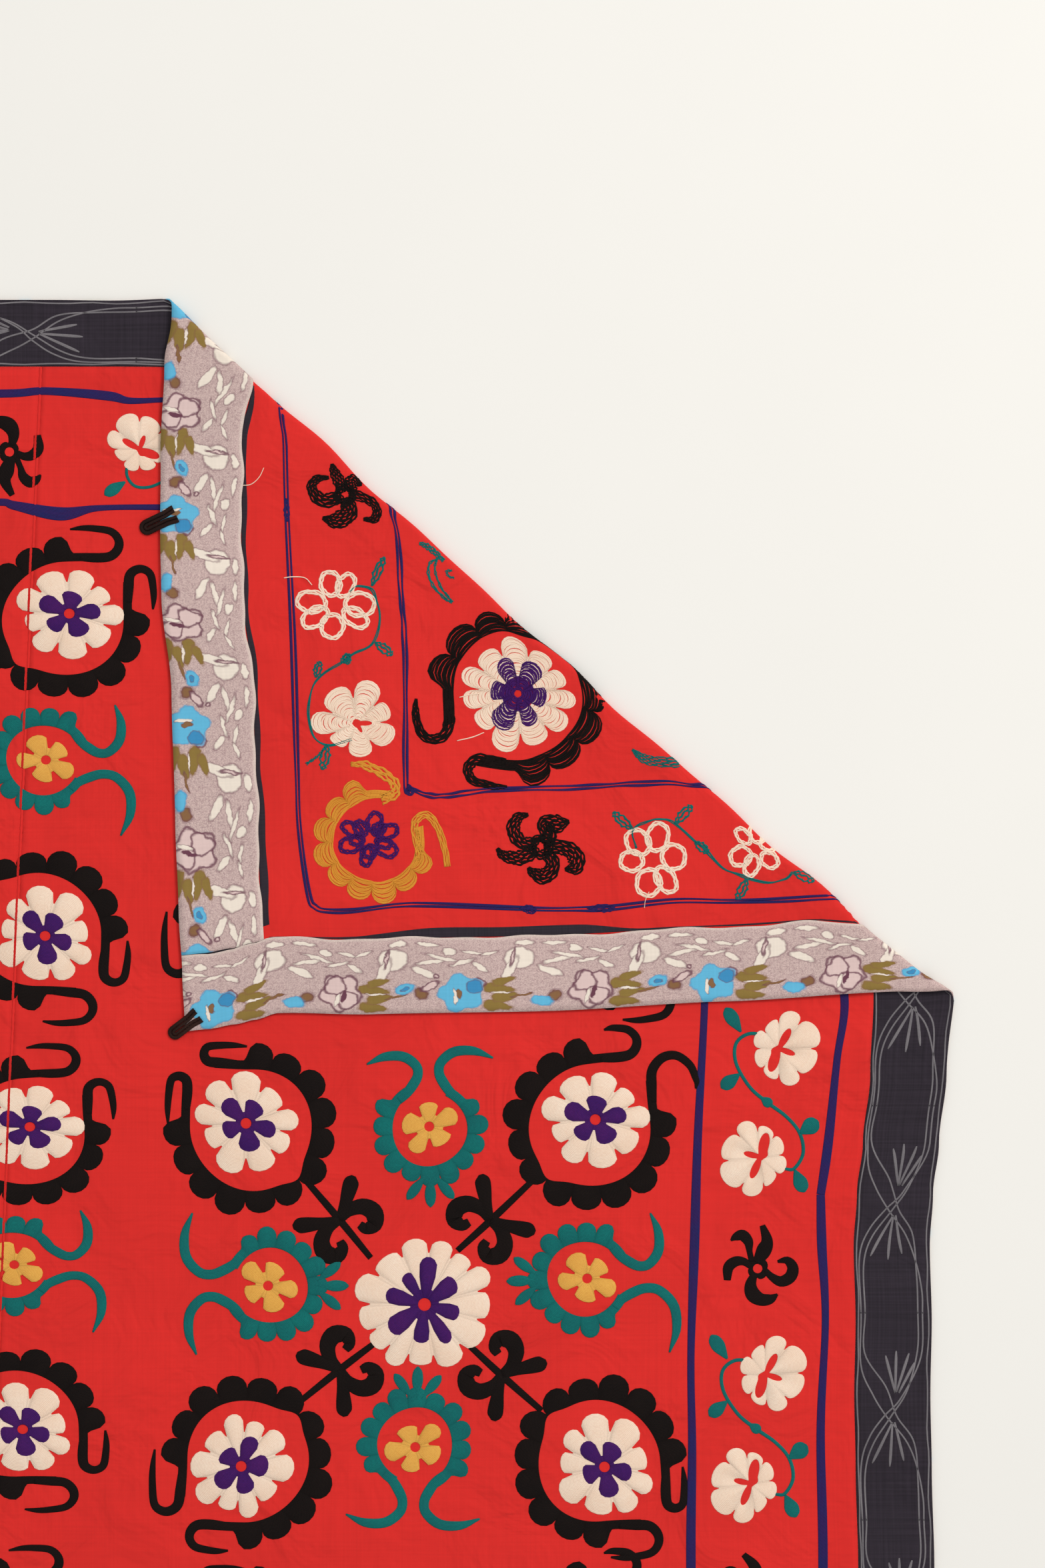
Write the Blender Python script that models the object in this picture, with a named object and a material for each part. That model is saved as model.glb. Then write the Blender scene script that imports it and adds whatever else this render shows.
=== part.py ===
"""A suzani laid flat, face up, with one corner turned over onto the front.

The red cotton ground is two loom widths that meet in a slanted seam. Black border strips edge its
front, printed facing strips back its rim, and two braid tabs are sewn to the facing for hanging.

Every cloth piece is first cut out flat, in the plane of the unfolded textile. folded() then carries
it over the turned corner and the wrinkles. X runs along the width, Y up the height, Z up off the
surface that the textile lies on, and the origin is the middle of its box, on that surface.
"""

import math

import bmesh
import bpy
import numpy as np

# The unfolded textile
LEFT_EDGE = -0.7013
RIGHT_EDGE = 0.6840
TOP_EDGE = 0.8579
BOTTOM_EDGE = -0.8590
SEAM_TOP_X = -0.0790
SEAM_BOTTOM_X = -0.1480
SIDE_BORDER = 0.0650
TOP_BORDER = 0.0570
SIDE_FACING = 0.0700
TOP_FACING = 0.0640

# Thickness of each cloth, and the space that is kept between two pieces
FACING_THICK = 0.0010
BORDER_THICK = 0.0010
GROUND_THICK = 0.0010
GAP = 0.0003

# How far the ground stays raised past the facing that it lies on, and how long it takes to drop
LAP_LEVEL = 0.0020
LAP_RAMP = 0.0100

# The turned corner: where the fold line starts on the top edge, its heading, and its bend
FOLD_X = 0.0331
FOLD_Y = 0.8550
FOLD_HEADING = math.radians(-41.75)
FOLD_LENGTH = 0.8877
BEND_RADIUS = 0.0040
# The cloth is pulled on the bias as it is turned: it slides along the fold and stretches a little
FLAP_SLIDE = -0.1847
FLAP_STRETCH = 1.027
FLAP_REST = 0.0042
FLAP_SETTLES_IN = 0.055

# Spacing of the cuts across each sheet
CUT_SPACING = 0.050
SEAM_CLEARANCE = 0.020
BEND_STEPS = 6
FOLD_CUTS_BEFORE = (0.050, 0.020)
FOLD_CUTS_AFTER = (0.014, 0.035, 0.065, 0.105)

# The right side swings out towards the turned corner: height on the textile, outward shift
SIDE_SWING = (
    # y, outward
    (-0.858, 0.0000),
    (-0.660, -0.0017),
    (-0.500, 0.0009),
    (-0.226, 0.0011),
    (-0.141, -0.0011),
    (-0.078, -0.0023),
    (-0.015, -0.0011),
    (0.049, -0.0028),
    (0.094, 0.0000),
    (0.137, 0.0051),
    (0.195, 0.0114),
    (0.266, 0.0148),
    (0.858, 0.0131),
)
SWING_STARTS_X = 0.400
SWING_FULL_X = 0.570
UNSWING_PASSES = 6

# The flap's two free edges bulge out and in: distance along the edge, outward shift
FLAP_TOP_EDGE = (
    # from the fold to the corner, outward
    (0.000, 0.0000),
    (0.054, 0.0057),
    (0.128, 0.0097),
    (0.208, 0.0111),
    (0.250, 0.0108),
    (0.332, 0.0031),
    (0.440, 0.0011),
    (0.510, -0.0009),
    (0.560, -0.0034),
    (0.604, -0.0050),
)
FLAP_SIDE_EDGE = (
    # from the corner to the fold, outward
    (0.000, 0.0120),
    (0.020, 0.0108),
    (0.044, 0.0074),
    (0.061, 0.0040),
    (0.080, -0.0010),
    (0.166, 0.0026),
    (0.316, 0.0042),
    (0.470, 0.0000),
    (0.598, -0.0040),
    (0.645, -0.0049),
)
EDGE_SHIFT_FULL = 0.075
EDGE_SHIFT_ENDS = 0.200

# Soft wrinkles in the cloth that lies on the surface, and in the flap
GROUND_WRINKLES = (
    # x, y, heading in degrees, half length, half width, height
    (0.553, 0.118, 45, 0.110, 0.016, 0.0026),
    (0.008, -0.197, -35, 0.070, 0.014, 0.0020),
    (0.198, -0.194, 88, 0.060, 0.014, 0.0014),
    (-0.006, 0.105, 6, 0.080, 0.016, 0.0014),
    (-0.014, 0.476, 78, 0.070, 0.016, 0.0015),
    (-0.420, 0.300, 62, 0.100, 0.018, 0.0022),
    (-0.330, -0.470, -48, 0.110, 0.018, 0.0024),
    (0.270, -0.560, 24, 0.100, 0.018, 0.0020),
)
FLAP_WRINKLES = (
    # x, y, heading in degrees, half length, half width, height
    (0.279, 0.364, -54, 0.045, 0.012, 0.0016),
    (0.115, 0.537, -66, 0.040, 0.012, 0.0018),
    (0.128, 0.430, -45, 0.030, 0.011, 0.0014),
)
WRINKLE_FLOOR = 0.00015
RIM_FLAT = 0.070
RIM_FADE = 0.025

# The tabs: where the sewn end's middle lies, which way the tab points, and where its droop starts
TAB_THICK = 0.0018
TAB_SEGMENTS = 12
TAB_CUTS = 5
TAB_REST = GROUND_THICK + 0.0006
TABS = (
    # name, x, y, heading in degrees, length, width, droop from
    ("tab_edge", 0.0365, 0.6749, 205, 0.0340, 0.0140, 0.0180),
    ("tab_corner", 0.0559, 0.2468, 217, 0.0315, 0.0130, 0.0195),
)

MATERIALS = {
    # slot: colour, roughness
    "red_cotton": ((0.710, 0.026, 0.021), 0.85),
    "black_cotton": ((0.025, 0.020, 0.026), 0.80),
    "printed_cotton": ((0.560, 0.400, 0.350), 0.85),
    "dark_braid": ((0.020, 0.014, 0.012), 0.80),
}


def blend_rows(rows, along):
    """Value between a table's rows, with an eased step from each row to the next."""
    places = np.array([row[0] for row in rows])
    values = np.array([row[1] for row in rows])
    index = np.clip(np.searchsorted(places, along) - 1, 0, len(rows) - 2)
    share = np.clip((along - places[index]) / (places[index + 1] - places[index]), 0, 1)
    eased = share * share * (3 - 2 * share)
    return values[index] + (values[index + 1] - values[index]) * eased


def ease(value, start, end):
    """0 before start, 1 after end, eased between them; start may be the larger one."""
    share = np.clip((value - start) / (end - start), 0, 1)
    return share * share * (3 - 2 * share)


def wrinkles(rows, x, y):
    """Height of a set of soft ridges: a bell across each one, and eased to nothing at its ends."""
    height = np.zeros_like(x)
    for centre_x, centre_y, heading, half_length, half_width, rise in rows:
        turn = math.radians(heading)
        along = (x - centre_x) * math.cos(turn) + (y - centre_y) * math.sin(turn)
        across = (y - centre_y) * math.cos(turn) - (x - centre_x) * math.sin(turn)
        ends = np.clip(1 - (along / half_length) ** 2, 0, 1) ** 2
        height += rise * np.exp(-((across / half_width) ** 2)) * ends
    return np.maximum(height - WRINKLE_FLOOR, 0)


def swing(x, y):
    """X of a point after the side swing, from its place on the textile as it was cut."""
    return x + blend_rows(SIDE_SWING, y) * ease(x, SWING_STARTS_X, SWING_FULL_X)


def unswing(x, y):
    """X on the textile as it was cut, from the place after the swing, closed in on in a few passes."""
    cut_x = x
    for _pass in range(UNSWING_PASSES):
        cut_x = x - blend_rows(SIDE_SWING, y) * ease(cut_x, SWING_STARTS_X, SWING_FULL_X)
    return cut_x


def from_sides(x):
    """How far a point of the textile as it was cut lies inside its nearest side edge."""
    return np.minimum(x - LEFT_EDGE, RIGHT_EDGE - x)


def from_ends(y):
    """How far a point of the textile as it was cut lies inside its top or bottom edge."""
    return np.minimum(y - BOTTOM_EDGE, TOP_EDGE - y)


def inside_rim(x, y):
    """0 on the rim, where the cloth stays free of wrinkles, and 1 further in."""
    return ease(np.minimum(from_sides(x), from_ends(y)), RIM_FLAT, RIM_FLAT + RIM_FADE)


def edge_frames():
    """Start, direction and outward normal of the flap's two free edges, seen from above."""
    fold = np.array((math.cos(FOLD_HEADING), math.sin(FOLD_HEADING)))
    across = np.array((-fold[1], fold[0]))
    start = np.array((FOLD_X, FOLD_Y))
    corner = np.array((RIGHT_EDGE + SIDE_SWING[-1][1], TOP_EDGE)) - start
    turned = corner @ across + BEND_RADIUS
    beyond = turned - math.pi * BEND_RADIUS
    tip = start + (corner @ fold + FLAP_SLIDE * turned) * fold
    tip = tip - (BEND_RADIUS + FLAP_STRETCH * beyond) * across
    end = start + FOLD_LENGTH * fold
    top_run = (tip - start) / np.linalg.norm(tip - start)
    side_run = (end - tip) / np.linalg.norm(end - tip)
    return (
        (start, top_run, np.array((top_run[1], -top_run[0]))),
        (tip, side_run, np.array((side_run[1], -side_run[0]))),
    )


def folded(open_x, open_y, lift):
    """Carry points of the open textile, after the side swing, into place.

    lift is the distance from the surface to the point while the textile lies open. Past the fold
    line a point runs round the bend, whose centre lies one bend radius over the surface, and then
    back over the front, upside down. The flap slides along the fold and stretches in step with
    the distance from it, and settles from the height of the bend to its rest height. Last come
    the fold line's own unevenness, the bulges of the flap's free edges and the wrinkles.
    """
    x = open_x - FOLD_X
    y = open_y - FOLD_Y
    cosine = math.cos(FOLD_HEADING)
    sine = math.sin(FOLD_HEADING)
    along = x * cosine + y * sine
    across = y * cosine - x * sine

    turned = np.maximum(across + BEND_RADIUS, 0)
    angle = np.minimum(turned / BEND_RADIUS, math.pi)
    beyond = np.maximum(turned - math.pi * BEND_RADIUS, 0)
    radius = BEND_RADIUS - lift
    along = along + FLAP_SLIDE * turned
    across = np.minimum(across, -BEND_RADIUS) + radius * np.sin(angle) - FLAP_STRETCH * beyond
    settled = 1 - np.exp(-((beyond / FLAP_SETTLES_IN) ** 1.5))
    z = BEND_RADIUS - radius * np.cos(angle) - (2 * BEND_RADIUS - FLAP_REST) * settled

    share = along / FOLD_LENGTH
    bow = -0.0058 * np.sin(math.pi * np.clip(share, 0, 1)) * np.exp(-((across / 0.110) ** 2))
    waver = 0.0012 * np.sin(43 * along + 0.6) + 0.0009 * np.sin(67 * along + 2.1)
    knuckle = 0.0050 * np.exp(-(((along - FOLD_LENGTH) / 0.022) ** 2))
    across = across + bow + (waver + knuckle) * np.exp(-((across / 0.040) ** 2))

    x = FOLD_X + along * cosine - across * sine
    y = FOLD_Y + along * sine + across * cosine
    on_flap = ease(beyond, 0, 0.030)
    shift_x = np.zeros_like(x)
    shift_y = np.zeros_like(y)
    for rows, (start, run, outward) in zip((FLAP_TOP_EDGE, FLAP_SIDE_EDGE), edge_frames()):
        place = (x - start[0]) * run[0] + (y - start[1]) * run[1]
        inside = -((x - start[0]) * outward[0] + (y - start[1]) * outward[1])
        shift = blend_rows(rows, place) * on_flap * ease(inside, EDGE_SHIFT_ENDS, EDGE_SHIFT_FULL)
        shift_x += shift * outward[0]
        shift_y += shift * outward[1]
    x = x + shift_x
    y = y + shift_y

    z = z + wrinkles(GROUND_WRINKLES, x, y) * inside_rim(unswing(x, y), y)
    inner_flap = on_flap * inside_rim(unswing(open_x, open_y), open_y)
    z = z + wrinkles(FLAP_WRINKLES, x, y) * inner_flap
    return x, y, z


def ground_lift(x, y):
    """The ground lies on the facing's inner rim, level with the border, and then drops down."""
    side_rim = from_sides(unswing(x, y)) - SIDE_FACING
    end_rim = from_ends(y) - TOP_FACING
    inside = np.minimum(side_rim, end_rim) - LAP_LEVEL
    return (FACING_THICK + GAP) * (1 - np.clip(inside / LAP_RAMP, 0, 1))


def cut(mesh, point, normal):
    """Split the flat sheet's faces along a straight line, which keeps it one whole sheet."""
    everything = mesh.verts[:] + mesh.edges[:] + mesh.faces[:]
    bmesh.ops.bisect_plane(
        mesh, geom=everything, dist=1e-6, plane_co=(*point, 0), plane_no=(*normal, 0)
    )


def rim_lines(low, high, border, facing):
    """The lines along two opposite edges where one layer ends or the ground drops."""
    depths = (border, facing, facing + LAP_LEVEL, facing + LAP_LEVEL + LAP_RAMP)
    return [low + depth for depth in depths] + [high - depth for depth in depths]


def spaced_lines(low, high, margin):
    """Even lines between two edges, clear of the rims."""
    inner_low = low + margin
    inner_high = high - margin
    count = round((inner_high - inner_low) / CUT_SPACING)
    return [inner_low + (inner_high - inner_low) * step / count for step in range(1, count)]


def straight_lines():
    """Point and normal of each line across and up the textile, the same for all its sheets."""
    margin_x = SIDE_FACING + LAP_LEVEL + LAP_RAMP
    margin_y = TOP_FACING + LAP_LEVEL + LAP_RAMP
    lines_x = rim_lines(LEFT_EDGE, RIGHT_EDGE, SIDE_BORDER, SIDE_FACING)
    lines_y = rim_lines(BOTTOM_EDGE, TOP_EDGE, TOP_BORDER, TOP_FACING)
    for line in spaced_lines(LEFT_EDGE, RIGHT_EDGE, margin_x):
        if not SEAM_BOTTOM_X - SEAM_CLEARANCE < line < SEAM_TOP_X + SEAM_CLEARANCE:
            lines_x.append(line)
    lines_y += spaced_lines(BOTTOM_EDGE, TOP_EDGE, margin_y)
    lines = [((line, 0), (1, 0)) for line in lines_x]
    lines += [((0, line), (0, 1)) for line in lines_y]
    return lines


def bend_lines():
    """Point and normal of each line that runs along the fold, through the bend and beside it."""
    normal = (-math.sin(FOLD_HEADING), math.cos(FOLD_HEADING))
    depths = [-BEND_RADIUS - depth for depth in FOLD_CUTS_BEFORE]
    depths += [BEND_RADIUS * (math.pi * step / BEND_STEPS - 1) for step in range(BEND_STEPS + 1)]
    depths += [BEND_RADIUS * (math.pi - 1) + depth for depth in FOLD_CUTS_AFTER]
    return [((FOLD_X + d * normal[0], FOLD_Y + d * normal[1]), normal) for d in depths]


def cut_wrinkles(mesh, rows):
    """Split only the faces near each wrinkle, along its crest and both of its feet."""
    for centre_x, centre_y, heading, half_length, half_width, _rise in rows:
        turn = math.radians(heading)
        normal = (-math.sin(turn), math.cos(turn))
        for offset in (-1.4 * half_width, 0, 1.4 * half_width):
            point = (centre_x + offset * normal[0], centre_y + offset * normal[1])
            near = []
            for face in mesh.faces:
                middle = face.calc_center_median()
                if math.hypot(middle.x - centre_x, middle.y - centre_y) < half_length:
                    near.append(face)
            parts = set(near)
            for face in near:
                parts.update(face.edges)
                parts.update(face.verts)
            bmesh.ops.bisect_plane(
                mesh, geom=list(parts), dist=1e-6, plane_co=(*point, 0), plane_no=(*normal, 0)
            )


def flat_sheet(outline, wrinkled):
    """A flat face of the given outline, cut into the pieces that can bend, as triangles."""
    mesh = bmesh.new()
    mesh.faces.new([mesh.verts.new((x, y, 0)) for x, y in outline])
    for point, normal in straight_lines():
        cut(mesh, point, normal)
    for vert in mesh.verts:
        vert.co.x = float(swing(vert.co.x, vert.co.y))
    for point, normal in bend_lines():
        cut(mesh, point, normal)
    if wrinkled:
        cut_wrinkles(mesh, GROUND_WRINKLES)
    bmesh.ops.triangulate(mesh, faces=mesh.faces[:])
    return mesh


def thicken(mesh):
    """Make the flat sheet a closed slab of height 1, whose height is then scaled to the cloth."""
    raised = bmesh.ops.extrude_face_region(mesh, geom=mesh.faces[:], use_keep_orig=True)
    for item in raised["geom"]:
        if isinstance(item, bmesh.types.BMVert):
            item.co.z = 1
    bmesh.ops.recalc_face_normals(mesh, faces=mesh.faces[:])


def finish(mesh, name, slot):
    """Make the bmesh a named object with its material, in the textile's collection."""
    data = bpy.data.meshes.new(name)
    mesh.to_mesh(data)
    mesh.free()
    data.materials.append(bpy.data.materials[slot])
    part = bpy.data.objects.new(name, data)
    bpy.data.collections["suzani"].objects.link(part)
    return part


def cloth(name, slot, outline, lift, thickness, wrinkled=False):
    """Cut a piece of cloth out flat, thicken it, and carry it over the fold."""
    mesh = flat_sheet(outline, wrinkled)
    thicken(mesh)
    part = finish(mesh, name, slot)
    vertices = part.data.vertices
    places = np.empty(len(vertices) * 3)
    vertices.foreach_get("co", places)
    x, y, level = places.reshape(-1, 3).T
    under = lift(x, y) if callable(lift) else lift
    moved = folded(x, y, under + level * thickness)
    vertices.foreach_set("co", np.column_stack(moved).ravel())
    part.data.update()
    return part


def rectangle(left, right, bottom, top):
    """Corners of a rectangle, counter-clockwise."""
    return ((left, bottom), (right, bottom), (right, top), (left, top))


def build_ground():
    """The two red loom widths, which meet along the slanted seam."""
    half = GAP / 2
    low = BOTTOM_EDGE + TOP_BORDER + half
    high = TOP_EDGE - TOP_BORDER - half
    left = LEFT_EDGE + SIDE_BORDER + half
    right = RIGHT_EDGE - SIDE_BORDER - half
    left_panel = (
        (left, low),
        (SEAM_BOTTOM_X - half, low),
        (SEAM_TOP_X - half, high),
        (left, high),
    )
    right_panel = (
        (SEAM_BOTTOM_X + half, low),
        (right, low),
        (right, high),
        (SEAM_TOP_X + half, high),
    )
    cloth("ground_left", "red_cotton", left_panel, ground_lift, GROUND_THICK, wrinkled=True)
    cloth("ground_right", "red_cotton", right_panel, ground_lift, GROUND_THICK, wrinkled=True)


def build_rim(kind, slot, side_width, end_width, lift, thickness):
    """Four strips round the rim: the side ones run full height, and the end ones butt into them."""
    half = GAP / 2
    inner_left = LEFT_EDGE + side_width
    inner_right = RIGHT_EDGE - side_width
    strips = {
        "left": rectangle(LEFT_EDGE, inner_left - half, BOTTOM_EDGE, TOP_EDGE),
        "right": rectangle(inner_right + half, RIGHT_EDGE, BOTTOM_EDGE, TOP_EDGE),
        "top": rectangle(inner_left + half, inner_right - half, TOP_EDGE - end_width + half, TOP_EDGE),
        "bottom": rectangle(
            inner_left + half, inner_right - half, BOTTOM_EDGE, BOTTOM_EDGE + end_width - half
        ),
    }
    for side, outline in strips.items():
        cloth(f"{kind}_{side}", slot, outline, lift, thickness)


def flap_height(x, y):
    """Height of the flap's upper face at a point that is well away from the fold."""
    cosine = math.cos(FOLD_HEADING)
    sine = math.sin(FOLD_HEADING)
    across = (y - FOLD_Y) * cosine - (x - FOLD_X) * sine
    beyond = np.maximum(-across - BEND_RADIUS, 0) / FLAP_STRETCH
    settled = 1 - np.exp(-((beyond / FLAP_SETTLES_IN) ** 1.5))
    return 2 * BEND_RADIUS - (2 * BEND_RADIUS - FLAP_REST) * settled


def build_tab(name, x, y, heading, length, width, droop_from):
    """A tab with a square sewn end on the flap's rim and a round free end that droops past it."""
    half = width / 2
    straight = length - half
    outline = [(0, half), (0, -half)]
    for step in range(TAB_SEGMENTS + 1):
        angle = math.pi * (step / TAB_SEGMENTS - 0.5)
        outline.append((straight + half * math.cos(angle), half * math.sin(angle)))
    mesh = bmesh.new()
    mesh.faces.new([mesh.verts.new((run, side, 0)) for run, side in outline])
    for step in range(TAB_CUTS):
        cut(mesh, (droop_from + (length - droop_from) * step / TAB_CUTS, 0), (1, 0))
    bmesh.ops.triangulate(mesh, faces=mesh.faces[:])
    thicken(mesh)
    turn = math.radians(heading)
    level = float(flap_height(x, y)) + GAP
    for vert in mesh.verts:
        run, side, layer = vert.co
        drop = (level - TAB_REST) * float(ease(run, droop_from, length))
        vert.co.x = x + run * math.cos(turn) - side * math.sin(turn)
        vert.co.y = y + run * math.sin(turn) + side * math.cos(turn)
        vert.co.z = level - drop + layer * TAB_THICK
    finish(mesh, name, "dark_braid")


def make_materials():
    """One Principled material for each cloth."""
    for slot, (colour, roughness) in MATERIALS.items():
        material = bpy.data.materials.new(slot)
        material.use_nodes = True
        shader = material.node_tree.nodes["Principled BSDF"]
        shader.inputs["Base Color"].default_value = (*colour, 1)
        shader.inputs["Roughness"].default_value = roughness
        shader.inputs["Metallic"].default_value = 0
        material.diffuse_color = (*colour, 1)


def main():
    for item in list(bpy.data.objects):
        bpy.data.objects.remove(item)
    textile = bpy.data.collections.new("suzani")
    bpy.context.scene.collection.children.link(textile)
    make_materials()
    build_ground()
    build_rim("facing", "printed_cotton", SIDE_FACING, TOP_FACING, 0, FACING_THICK)
    border_lift = FACING_THICK + GAP
    build_rim("border", "black_cotton", SIDE_BORDER, TOP_BORDER, border_lift, BORDER_THICK)
    for row in TABS:
        build_tab(*row)


main()
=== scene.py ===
"""Looks of a suzani laid flat with one corner turned over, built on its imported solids."""

import math

import bpy
import numpy as np
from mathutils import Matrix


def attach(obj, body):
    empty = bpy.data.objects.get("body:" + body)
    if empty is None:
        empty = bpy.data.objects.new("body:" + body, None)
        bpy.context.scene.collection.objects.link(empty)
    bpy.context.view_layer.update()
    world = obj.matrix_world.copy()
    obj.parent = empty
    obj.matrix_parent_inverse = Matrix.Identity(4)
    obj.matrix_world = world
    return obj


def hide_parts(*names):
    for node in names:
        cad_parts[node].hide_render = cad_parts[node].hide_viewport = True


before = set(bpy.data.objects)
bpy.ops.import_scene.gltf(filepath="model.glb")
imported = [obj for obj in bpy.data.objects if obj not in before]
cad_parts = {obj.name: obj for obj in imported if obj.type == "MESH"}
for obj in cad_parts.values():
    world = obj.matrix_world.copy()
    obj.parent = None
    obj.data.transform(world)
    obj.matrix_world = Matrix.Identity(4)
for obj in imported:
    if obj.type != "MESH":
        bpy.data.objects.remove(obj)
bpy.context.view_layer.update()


# The picture: the camera looks straight down from 3.2 m on the textile's turned corner. It lies on a
# pale floor, under even light and one large soft lamp from the upper right.

def linear(red, green, blue):
    """Linear colour of an sRGB one from 0 to 255: the sRGB curve, channel by channel."""
    share = np.array((red, green, blue)) / 255
    curved = np.where(share <= 0.04045, share / 12.92, ((share + 0.055) / 1.055) ** 2.4)
    return (*curved.tolist(), 1.0)


def node(tree, kind, out=0, inputs=(), **settings):
    """Add a node, set it up and join its inputs, and give back one of its output sockets."""
    made = tree.nodes.new(kind)
    for name, value in settings.items():
        setattr(made, name, value)
    for name, value in dict(inputs).items():
        if isinstance(value, bpy.types.NodeSocket):
            tree.links.new(value, made.inputs[name])
        else:
            made.inputs[name].default_value = value
    return made.outputs[out]


def math_node(tree, operation, *values):
    """A Math node: the operation on one, two or three numbers or sockets."""
    return node(tree, "ShaderNodeMath", inputs=dict(enumerate(values)), operation=operation)


def mix_colour(tree, share, first, second, blend="MIX"):
    """A Mix node for colours: the first at share 0 and the second at share 1."""
    return node(
        tree, "ShaderNodeMix", out=2, data_type="RGBA", blend_type=blend,
        inputs={0: share, 6: first, 7: second},
    )


def new_material(name, roughness, specular=0.25):
    """A material with a plain Principled shader, its tree and the shader."""
    material = bpy.data.materials.new(name)
    material.use_nodes = True
    shader = material.node_tree.nodes["Principled BSDF"]
    shader.inputs["Roughness"].default_value = roughness
    shader.inputs["Specular IOR Level"].default_value = specular
    return material, material.node_tree, shader


camera = bpy.data.objects.new("camera", bpy.data.cameras.new("camera"))
camera.data.lens = 85
camera.data.sensor_width = 36
camera.location = (0.3329, 0.4440, 3.1672)
bpy.context.scene.collection.objects.link(camera)
bpy.context.scene.camera = camera
bpy.context.scene.view_settings.view_transform = "Standard"

FLOOR_REACH, FLOOR_LEVEL = 5, -0.0008
floor_mesh = bpy.data.meshes.new("floor")
floor_corners = [(x * FLOOR_REACH, y * FLOOR_REACH, FLOOR_LEVEL) for x, y in ((-1, -1), (1, -1), (1, 1), (-1, 1))]
floor_mesh.from_pydata(floor_corners, [], [(0, 1, 2, 3)])
floor = bpy.data.objects.new("floor", floor_mesh)
bpy.context.scene.collection.objects.link(floor)
pale, pale_tree, pale_shader = new_material("pale_floor", 0.9, 0.1)
grain = node(pale_tree, "ShaderNodeTexNoise", inputs={"Scale": 60, "Detail": 3})
pale_tree.links.new(
    mix_colour(pale_tree, grain, linear(243, 240, 233), linear(245, 242, 235)), pale_shader.inputs["Base Color"]
)
floor_mesh.materials.append(pale)

sky = bpy.data.worlds.new("even_light")
sky.use_nodes = True
sky.node_tree.nodes["Background"].inputs["Color"].default_value = (1.0, 1.0, 1.0, 1)
sky.node_tree.nodes["Background"].inputs["Strength"].default_value = 0.64
bpy.context.scene.world = sky

lamp = bpy.data.objects.new("soft_lamp", bpy.data.lights.new("soft_lamp", "AREA"))
lamp.data.shape = "DISK"
lamp.data.size = 2.2
lamp.data.energy = 180
lamp.location = (3.5, 3.2, 4.5)
lamp.rotation_euler = (math.radians(-26.6), math.radians(35.2), 0)
bpy.context.scene.collection.objects.link(lamp)


# The red ground: two loom widths of plain cotton, joined by hand along a slanted seam. The whole
# textile is cut out flat, and then one corner is turned over, so every piece is carried by folded().

LEFT_EDGE, RIGHT_EDGE, TOP_EDGE, BOTTOM_EDGE = -0.7013, 0.6840, 0.8579, -0.8590
SEAM_TOP_X, SEAM_BOTTOM_X = -0.0790, -0.1480
SIDE_BORDER, TOP_BORDER = 0.0650, 0.0570
SIDE_FACING, TOP_FACING = 0.0700, 0.0640
CLOTH_THICK, GAP = 0.0010, 0.0003
LAP_LEVEL, LAP_RAMP = 0.0020, 0.0100
FOLD_X, FOLD_Y, FOLD_LENGTH = 0.0331, 0.8550, 0.8877
FOLD_COS, FOLD_SIN = math.cos(math.radians(-41.75)), math.sin(math.radians(-41.75))
BEND_RADIUS = 0.0040
FLAP_SLIDE, FLAP_STRETCH, FLAP_REST, FLAP_SETTLES_IN = -0.1847, 1.027, 0.0042, 0.055
EDGE_SHIFT_FULL, EDGE_SHIFT_ENDS = 0.075, 0.200
SWING_STARTS_X, SWING_FULL_X = 0.400, 0.570
RIM_FLAT, RIM_FADE, WRINKLE_FLOOR = 0.070, 0.025, 0.00015

SIDE_SWING = np.array((
    # y, outward
    (-0.858, 0.0000), (-0.660, -0.0017), (-0.500, 0.0009), (-0.226, 0.0011), (-0.141, -0.0011),
    (-0.078, -0.0023), (-0.015, -0.0011), (0.049, -0.0028), (0.094, 0.0000), (0.137, 0.0051),
    (0.195, 0.0114), (0.266, 0.0148), (0.858, 0.0131),
))
FLAP_TOP_EDGE = np.array((
    # along from the fold to the corner, outward
    (0.000, 0.0000), (0.054, 0.0057), (0.128, 0.0097), (0.208, 0.0111), (0.250, 0.0108),
    (0.332, 0.0031), (0.440, 0.0011), (0.510, -0.0009), (0.560, -0.0034), (0.604, -0.0050),
))
FLAP_SIDE_EDGE = np.array((
    # along from the corner to the fold, outward
    (0.000, 0.0120), (0.020, 0.0108), (0.044, 0.0074), (0.061, 0.0040), (0.080, -0.0010),
    (0.166, 0.0026), (0.316, 0.0042), (0.470, 0.0000), (0.598, -0.0040), (0.645, -0.0049),
))
GROUND_WRINKLES = (
    # x, y, heading in degrees, half length, half width, height
    (0.553, 0.118, 45, 0.110, 0.016, 0.0026),
    (0.008, -0.197, -35, 0.070, 0.014, 0.0020),
    (0.198, -0.194, 88, 0.060, 0.014, 0.0014),
    (-0.006, 0.105, 6, 0.080, 0.016, 0.0014),
    (-0.014, 0.476, 78, 0.070, 0.016, 0.0015),
    (-0.420, 0.300, 62, 0.100, 0.018, 0.0022),
    (-0.330, -0.470, -48, 0.110, 0.018, 0.0024),
    (0.270, -0.560, 24, 0.100, 0.018, 0.0020),
)
FLAP_WRINKLES = (
    # x, y, heading in degrees, half length, half width, height
    (0.279, 0.364, -54, 0.045, 0.012, 0.0016),
    (0.115, 0.537, -66, 0.040, 0.012, 0.0018),
    (0.128, 0.430, -45, 0.030, 0.011, 0.0014),
)


def ease(value, start, end):
    """0 before start and 1 after end, with s*s*(3 - 2s) between them; start may be the larger."""
    share = np.clip((value - start) / (end - start), 0, 1)
    return share * share * (3 - 2 * share)


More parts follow.
